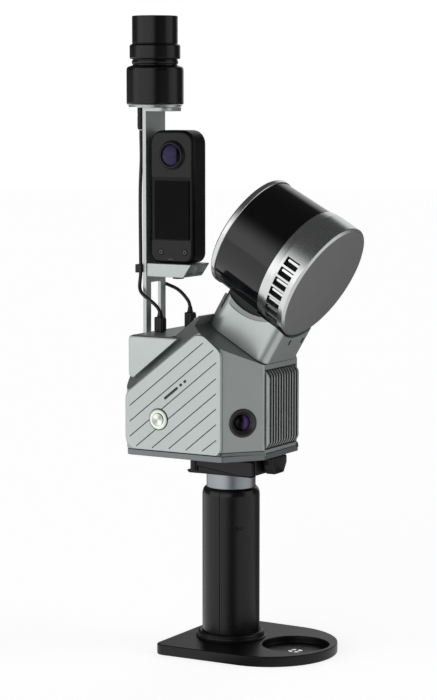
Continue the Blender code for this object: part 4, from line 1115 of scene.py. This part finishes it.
def smooth_route(route, step=0.003):
    """Points along the same smooth curve that the CAD leads follow."""
    points = [Vector(p) for p in route]
    ends = [points[0] * 2 - points[1], *points, points[-1] * 2 - points[-2]]
    line = []
    for before, start, end, after in zip(ends, ends[1:], ends[2:], ends[3:]):
        pieces = max(1, round((end - start).length / step))
        for k in range(pieces):
            t = k / pieces
            square = 2 * before - 5 * start + 4 * end - after
            cube = 3 * start - before - 3 * end + after
            line.append(0.5 * (2 * start + (end - before) * t + square * t * t + cube * t**3))
    line.append(points[-1])
    return line


def lead_end(hand):
    """Ribbed plug with the strain relief that the lead goes into."""
    low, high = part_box(f"lead_plug_{hand}")
    x, y, _ = centre_of(f"lead_plug_{hand}")
    half_x, half_y = (high.x - low.x) / 2, (high.y - low.y) / 2
    inner_x, inner_y = half_x * 0.94, half_y * 0.94
    place = Matrix.Translation((x, y, 0))
    outline = rounded(rectangle(-inner_x, -inner_y, inner_x, inner_y), 0.0014, 4)
    body = plate("plug", outline, low.z, high.z - 0.0005, place)
    soften(body, 0.0006, 3, 50)
    pieces = [body]
    rib_low, rib_high, rib_half = low.z + 0.001, high.z - 0.002, 0.0006
    for a in (-0.0026, 0.0, 0.0026):
        for side in (-1, 1):
            near, far = sorted((side * inner_y, side * half_y))
            pieces.append(block("rib", (a - rib_half, near, rib_low), (a + rib_half, far, rib_high), place))
    for b in (-0.0024, 0.0, 0.0024):
        rib = block("rib", (half_x * 0.92, b - rib_half, rib_low), (half_x, b + rib_half, rib_high), place)
        pieces.append(rib)
    dress(joined(f"lead_plug_body_{hand}", *pieces), SOFT_BLACK, "stand", f"lead_plug_{hand}")
    profile = [(0, 0.0045), (0.0016, 0.0045), (0.0018, 0.0040)]
    profile += [(0.0024, 0.0005), (0.0030, -0.0004), (0, -0.0004)]
    relief = lathe(f"lead_strain_relief_{hand}", profile, Matrix.Translation((x, y, high.z)), 32)
    dress(relief, CABLE, "stand")


def lead(hand, side):
    route = [(x, side * y, z) for x, y, z in LEAD_DOWN] + LEAD_BENDS[hand]
    tube(f"lead_{hand}", smooth_route(route), LEAD_R, CABLE, "stand", f"antenna_lead_{hand}")
    lead_end(hand)
    low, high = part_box(f"antenna_socket_{hand}")
    x, y, _ = centre_of(f"antenna_socket_{hand}")
    nut = [(0, high.z), (0.0030, high.z), (0.0030, high.z - 0.006), (0.0026, high.z - 0.0064)]
    nut += [(0.0030, high.z - 0.0070), (0.0030, low.z + 0.0016), (0.0022, low.z), (0, low.z)]
    socket = lathe(f"lead_socket_{hand}", nut, Matrix.Translation((x, y, 0)), 32)
    dress(socket, ANODISED, "stand", f"antenna_socket_{hand}")


lead("right", -1)
lead("left", 1)
refined("lead_clip", "lead_holder", SOFT_BLACK, "stand", 0.0005, 2, 40)

# Tray and panoramic camera


def tray():
    made = copied("camera_tray", "camera_shelf")
    soften(made, 0.0010, 3, 35)
    foot_x, lip_x = -0.0370, -0.0294
    low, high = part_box("camera_tray")
    run = Vector((lip_x - foot_x, 0, high.z - low.z)).normalized()
    middle = Vector(((foot_x + lip_x) / 2, 0, (high.z + low.z) / 2))
    place = Matrix(((0, run.x, run.z, middle.x), (1, 0, 0, 0), (0, run.z, -run.x, middle.z), (0, 0, 0, 1)))
    pockets = []
    for side in (-1, 1):
        start, end = sorted((side * 0.0012, side * 0.0132))
        shape = rounded(rectangle(start, -0.0046, end, 0.0046), 0.0018, 5)
        pockets.append(plate("pocket", shape, -0.0013, 0.005, place))
    return dress(cut(made, *pockets), PAINT_LIGHT, "stand", "camera_tray")


tray()


def thumb_screw():
    """A knurled knob with its stem."""
    low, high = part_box("tray_thumb_screw")
    x, y, _ = centre_of("tray_thumb_screw")
    place = Matrix.Translation((x, y, 0))
    knob_top = 0.3163
    reach_out = (high.x - low.x) / 2
    outline = []
    for number in range(36):
        turn = math.radians(number * 10)
        reach = reach_out if number % 2 else reach_out - 0.0004
        outline.append((reach * math.cos(turn), reach * math.sin(turn)))
    knob = plate("knob", outline, low.z, knob_top, place)
    soften(knob, 0.0003, 2, 50)
    stem = [(0, high.z), (0.0026, high.z), (0.0030, high.z - 0.0005)]
    stem += [(0.0030, knob_top - 0.001), (0, knob_top - 0.001)]
    knob = joined("tray_knob", knob, lathe("stem", stem, place, 32))
    dress(knob, ANODISED, "thumb_screw", "tray_thumb_screw")


thumb_screw()

CAM_LOW, CAM_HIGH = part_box("panoramic_camera_body")
CAM_FACE = CAM_LOW.y
FIELD_INSET = 0.0022


def on_face(x, z):
    """A frame on the camera's near face, with its z outward."""
    return Matrix.Translation((x, CAM_FACE, z)) @ UPRIGHT


KEY_Z = centre_of("camera_shutter_button")[2]
KEYS = [on_face(centre_of(node)[0], KEY_Z) for node in ("camera_shutter_button", "camera_power_button")]


def key_wells():
    return [drum("well", 0.0026, 0.004, -0.003, place, 32) for place in KEYS]


def camera_body():
    low, high = CAM_LOW, CAM_HIGH
    x, y, _ = centre_of("panoramic_camera_body")
    outline = rounded(rectangle(low.x, low.z, high.x, high.z), [0.0085, 0.0085, 0.0112, 0.0112], 10)
    body = plate("camera_body", outline, -high.y + 0.0004, -low.y - 0.0004, UPRIGHT)
    soften(body, 0.0030, 5, 50)
    bore = drum("bore", 0.0032, 0.007, -0.01, Matrix.Translation((x, y, low.z)), 32)
    cut(body, *key_wells(), bore)
    dress(body, BODY_BLACK, "stand", "panoramic_camera_body")


def camera_fields():
    """Matt fields above and below the screen, on both faces."""
    left, right = CAM_LOW.x + FIELD_INSET, CAM_HIGH.x - FIELD_INSET
    bottom, top = CAM_LOW.z + FIELD_INSET, CAM_HIGH.z - FIELD_INSET
    for name, z_low, z_high, radii in (
        ("camera_lens_field", 0.3925, top, [0.0008, 0.0008, 0.0090, 0.0090]),
        ("camera_lower_field", bottom, 0.3402, [0.0066, 0.0066, 0.0008, 0.0008]),
    ):
        outline = rounded(rectangle(left, z_low, right, z_high), radii, 6)
        for side, tag, y in ((-1, "near", CAM_LOW.y), (1, "far", CAM_HIGH.y)):
            piece = plate(f"{name}_{tag}", outline, -y - 0.0008, -y - side * 0.0001, UPRIGHT)
            if name == "camera_lower_field" and side < 0:
                cut(piece, *key_wells())
            soften(piece, 0.0002, 2, 50)
            dress(piece, FACE_BLACK, "stand")


def camera_screen():
    low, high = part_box("panoramic_camera_screen")
    outline = rounded(rectangle(low.x, low.z, high.x, high.z), 0.0006, 3)
    screen = plate("camera_screen", outline, -high.y, -low.y, UPRIGHT)
    dress(soften(screen, 0.0002, 2, 50), SCREEN, "stand", "panoramic_camera_screen")


def camera_keys():
    """The two keys with their marks, and the small print below them."""
    for node, name, place, body in (
        ("camera_shutter_button", "shutter_key", KEYS[0], "shutter_button"),
        ("camera_power_button", "power_key", KEYS[1], "camera_power_button"),
    ):
        cap = [(0, 0.0003), (0.0016, 0.0003), (0.0023, 0.0001), (0.0023, -0.0022), (0, -0.0022)]
        dress(lathe(name, cap, place, 32), FACE_BLACK, body, node)
        mark = [(0.0012, 0.00036), (0.0016, 0.00036), (0.0016, 0.0002), (0.0012, 0.0002)]
        dress(lathe(f"{name}_mark", mark, place, 32, ring=True), MARKS, body)
    # Painted shade: a small dark disc standing in for the microphone hole
    hole = drum("camera_microphone_painted_shade", 0.0006, 0.00012, -0.0002, on_face(-0.0505, 0.3291), 24)
    dress(hole, MATT_BLACK_AND_PAINTED_SHADE, "stand")
    dash = rounded(rectangle(-0.0530, 0.3242, -0.0482, 0.3247), 0.0002, 3)
    dash = plate("camera_front_dash", dash, -CAM_FACE - 0.0002, -CAM_FACE + 0.00012, UPRIGHT)
    dress(dash, MARKS, "stand")


def fisheye(side, node, name, y):
    x, _, z = centre_of(node)
    place = Matrix.Translation((x, y, z)) @ Matrix.Rotation(-side * math.pi / 2, 4, "X")
    ring = [(0.0088, 0.0010), (0.0094, 0.0030), (0.0104, 0.0028)]
    ring += [(0.0122, 0.0006), (0.0122, -0.0002), (0.0088, -0.0002)]
    dress(turned(f"{name}_ring", ring, 0.0003, place, 64, 3, ring=True), FACE_BLACK, "stand")
    # Painted reflection: the fisheye glass turns purple towards one side
    glass = lens_painted_reflection(f"{name}_glass", (x + 0.0062, y, z), (-0.002, 0, 0), (0.040, 0.032, 0.085))
    dome = [(0, 0.0050), (0.0036, 0.0046), (0.0070, 0.0034), (0.0087, 0.0016), (0.0087, 0.0), (0, 0.0)]
    made = turned(name, dome, [0, 0.006, 0.0015, 0.0003, 0, 0], place, 64, 5)
    dress(made, glass.dulled(0.1), "stand", node)


camera_body()
camera_fields()
camera_screen()
camera_keys()
fisheye(-1, "panoramic_lens_right", "fisheye_near", CAM_LOW.y)
fisheye(1, "panoramic_lens_left", "fisheye_far", CAM_HIGH.y)

# Hidden pieces keep their CAD shape and take a finish

for node, finish in {
    "handle_end_cap": ANODISED,
    "battery_cell_1": CELL,
    "battery_cell_2": CELL,
    "battery_cell_3": CELL,
    "base_screw_1": STEEL,
    "base_screw_2": STEEL,
    "base_screw_3": STEEL,
    "quick_release_pin": STEEL,
    "main_board": GREEN,
    "swivel_motor": ANODISED,
    "swivel_shaft": STEEL,
    "laser_spindle": STEEL,
    "laser_rotor": MATT_BLACK_AND_PAINTED_SHADE,
    "antenna_core": GREEN,
}.items():
    nodes[node].data.materials.clear()
    nodes[node].data.materials.append(finish.material)

# Floor, backdrop and light


class Graph:
    """Short names for building a light's or a backdrop's node tree."""

    def __init__(self, tree):
        self.tree = tree
        tree.nodes.clear()

    def node(self, kind, **values):
        made = self.tree.nodes.new(kind)
        for name, value in values.items():
            setattr(made, name, value)
        return made

    def link(self, source, target):
        self.tree.links.new(source, target)

    def math(self, operation, first, second):
        made = self.node("ShaderNodeMath", operation=operation)
        for socket, value in zip(made.inputs, (first, second)):
            if isinstance(value, (int, float)):
                socket.default_value = value
            else:
                self.link(value, socket)
        return made.outputs[0]

    def fade(self, source, nothing, full, strength=1.0):
        made = self.node("ShaderNodeMapRange", interpolation_type="SMOOTHSTEP")
        made.inputs["From Min"].default_value = nothing
        made.inputs["From Max"].default_value = full
        made.inputs["To Max"].default_value = strength
        self.link(source, made.inputs["Value"])
        return made.outputs["Result"]

    def pool(self, vector, azimuth, inner, outer, strength):
        """A soft pool about an azimuth, full within inner degrees of it and gone at outer."""
        edge, full = (math.cos(math.radians(degrees)) for degrees in (outer, inner))
        return self.fade(self.facing(vector, azimuth), edge, full, strength)

    def facing(self, vector, azimuth):
        """Cosine of the angle, seen from above, between a vector and an azimuth."""
        flat = self.node("ShaderNodeVectorMath", operation="MULTIPLY")
        flat.inputs[1].default_value = (1, 1, 0)
        self.link(vector, flat.inputs[0])
        unit = self.node("ShaderNodeVectorMath", operation="NORMALIZE")
        self.link(flat.outputs["Vector"], unit.inputs[0])
        dot = self.node("ShaderNodeVectorMath", operation="DOT_PRODUCT")
        turn = math.radians(azimuth)
        dot.inputs[1].default_value = (math.cos(turn), math.sin(turn), 0)
        self.link(unit.outputs["Vector"], dot.inputs[0])
        return dot.outputs["Value"]


BASE_LEVEL = 0.09
# Each soft light: its azimuth, the half widths and then the heights where it is full and gone, its strength
SOFT_LIGHTS = [
    (-109, 38, 54, 12, 50, 1.75),
    (19, 12, 26, 25, 60, 1.2),
    (104, 8, 22, 28, 44, 1.0),
]
# The floor's glow, seen only in reflections: azimuth, half widths and strength of each pool
FLOOR_GLOWS = [(-140, 45, 80, 0.92), (4, 28, 58, 0.66)]
FLOOR_REST = 0.07
FLOOR_DIM = 0.30  # the floor's paleness as reflections see it
FLOOR_PALE = 0.80  # and as the camera sees it


def studio():
    """Pale floor and backdrop; the soft lights and the floor's glow are seen only by reflected rays."""
    floor_work = bmesh.new()
    bmesh.ops.create_circle(floor_work, cap_ends=True, segments=128, radius=9)
    floor = add("floor", floor_work, Matrix.Translation((0, 0, -0.0002)))
    pale = bpy.data.materials.new("pale_floor")
    pale.use_nodes = True
    graph = Graph(pale.node_tree)
    matt = graph.node("ShaderNodeBsdfDiffuse")
    camera_ray = graph.node("ShaderNodeLightPath").outputs["Is Camera Ray"]
    paleness = graph.math("ADD", FLOOR_DIM, graph.math("MULTIPLY", camera_ray, FLOOR_PALE - FLOOR_DIM))
    grey = graph.node("ShaderNodeCombineColor")
    for channel in grey.inputs:
        graph.link(paleness, channel)
    graph.link(grey.outputs[0], matt.inputs["Color"])
    place = graph.node("ShaderNodeTexCoord").outputs["Object"]
    lit = FLOOR_REST
    for azimuth, inner, outer, strength in FLOOR_GLOWS:
        lit = graph.math("ADD", graph.pool(place, azimuth, inner, outer, strength), lit)
    for_others = graph.math("MULTIPLY", lit, graph.math("SUBTRACT", 1.0, camera_ray))
    for_camera = graph.math("MULTIPLY", camera_ray, FLOOR_PALE)
    lift = graph.node("ShaderNodeEmission")
    graph.link(graph.math("ADD", for_others, for_camera), lift.inputs["Strength"])
    both = graph.node("ShaderNodeAddShader")
    graph.link(matt.outputs[0], both.inputs[0])
    graph.link(lift.outputs[0], both.inputs[1])
    graph.link(both.outputs[0], graph.node("ShaderNodeOutputMaterial").inputs["Surface"])
    floor.data.materials.append(pale)

    world = bpy.data.worlds.new("studio")
    scene.world = world
    world.use_nodes = True
    graph = Graph(world.node_tree)
    direction = graph.node("ShaderNodeTexCoord").outputs["Generated"]
    split = graph.node("ShaderNodeSeparateXYZ")
    graph.link(direction, split.inputs[0])
    total = BASE_LEVEL
    for azimuth, inner, outer, full_height, top_height, strength in SOFT_LIGHTS:
        wide = graph.pool(direction, azimuth, inner, outer, strength)
        gone, full = (math.sin(math.radians(height)) for height in (top_height, full_height))
        tall = graph.fade(split.outputs["Z"], gone, full)
        total = graph.math("ADD", graph.math("MULTIPLY", wide, tall), total)
    lights = graph.node("ShaderNodeBackground")
    graph.link(total, lights.inputs["Strength"])
    backdrop = graph.node("ShaderNodeBackground")
    backdrop.inputs["Color"].default_value = (1, 1, 1, 1)
    mix = graph.node("ShaderNodeMixShader")
    graph.link(graph.node("ShaderNodeLightPath").outputs["Is Camera Ray"], mix.inputs["Fac"])
    graph.link(lights.outputs[0], mix.inputs[1])
    graph.link(backdrop.outputs[0], mix.inputs[2])
    graph.link(mix.outputs[0], graph.node("ShaderNodeOutputWorld").inputs["Surface"])


studio()
scene.view_settings.view_transform = "Standard"
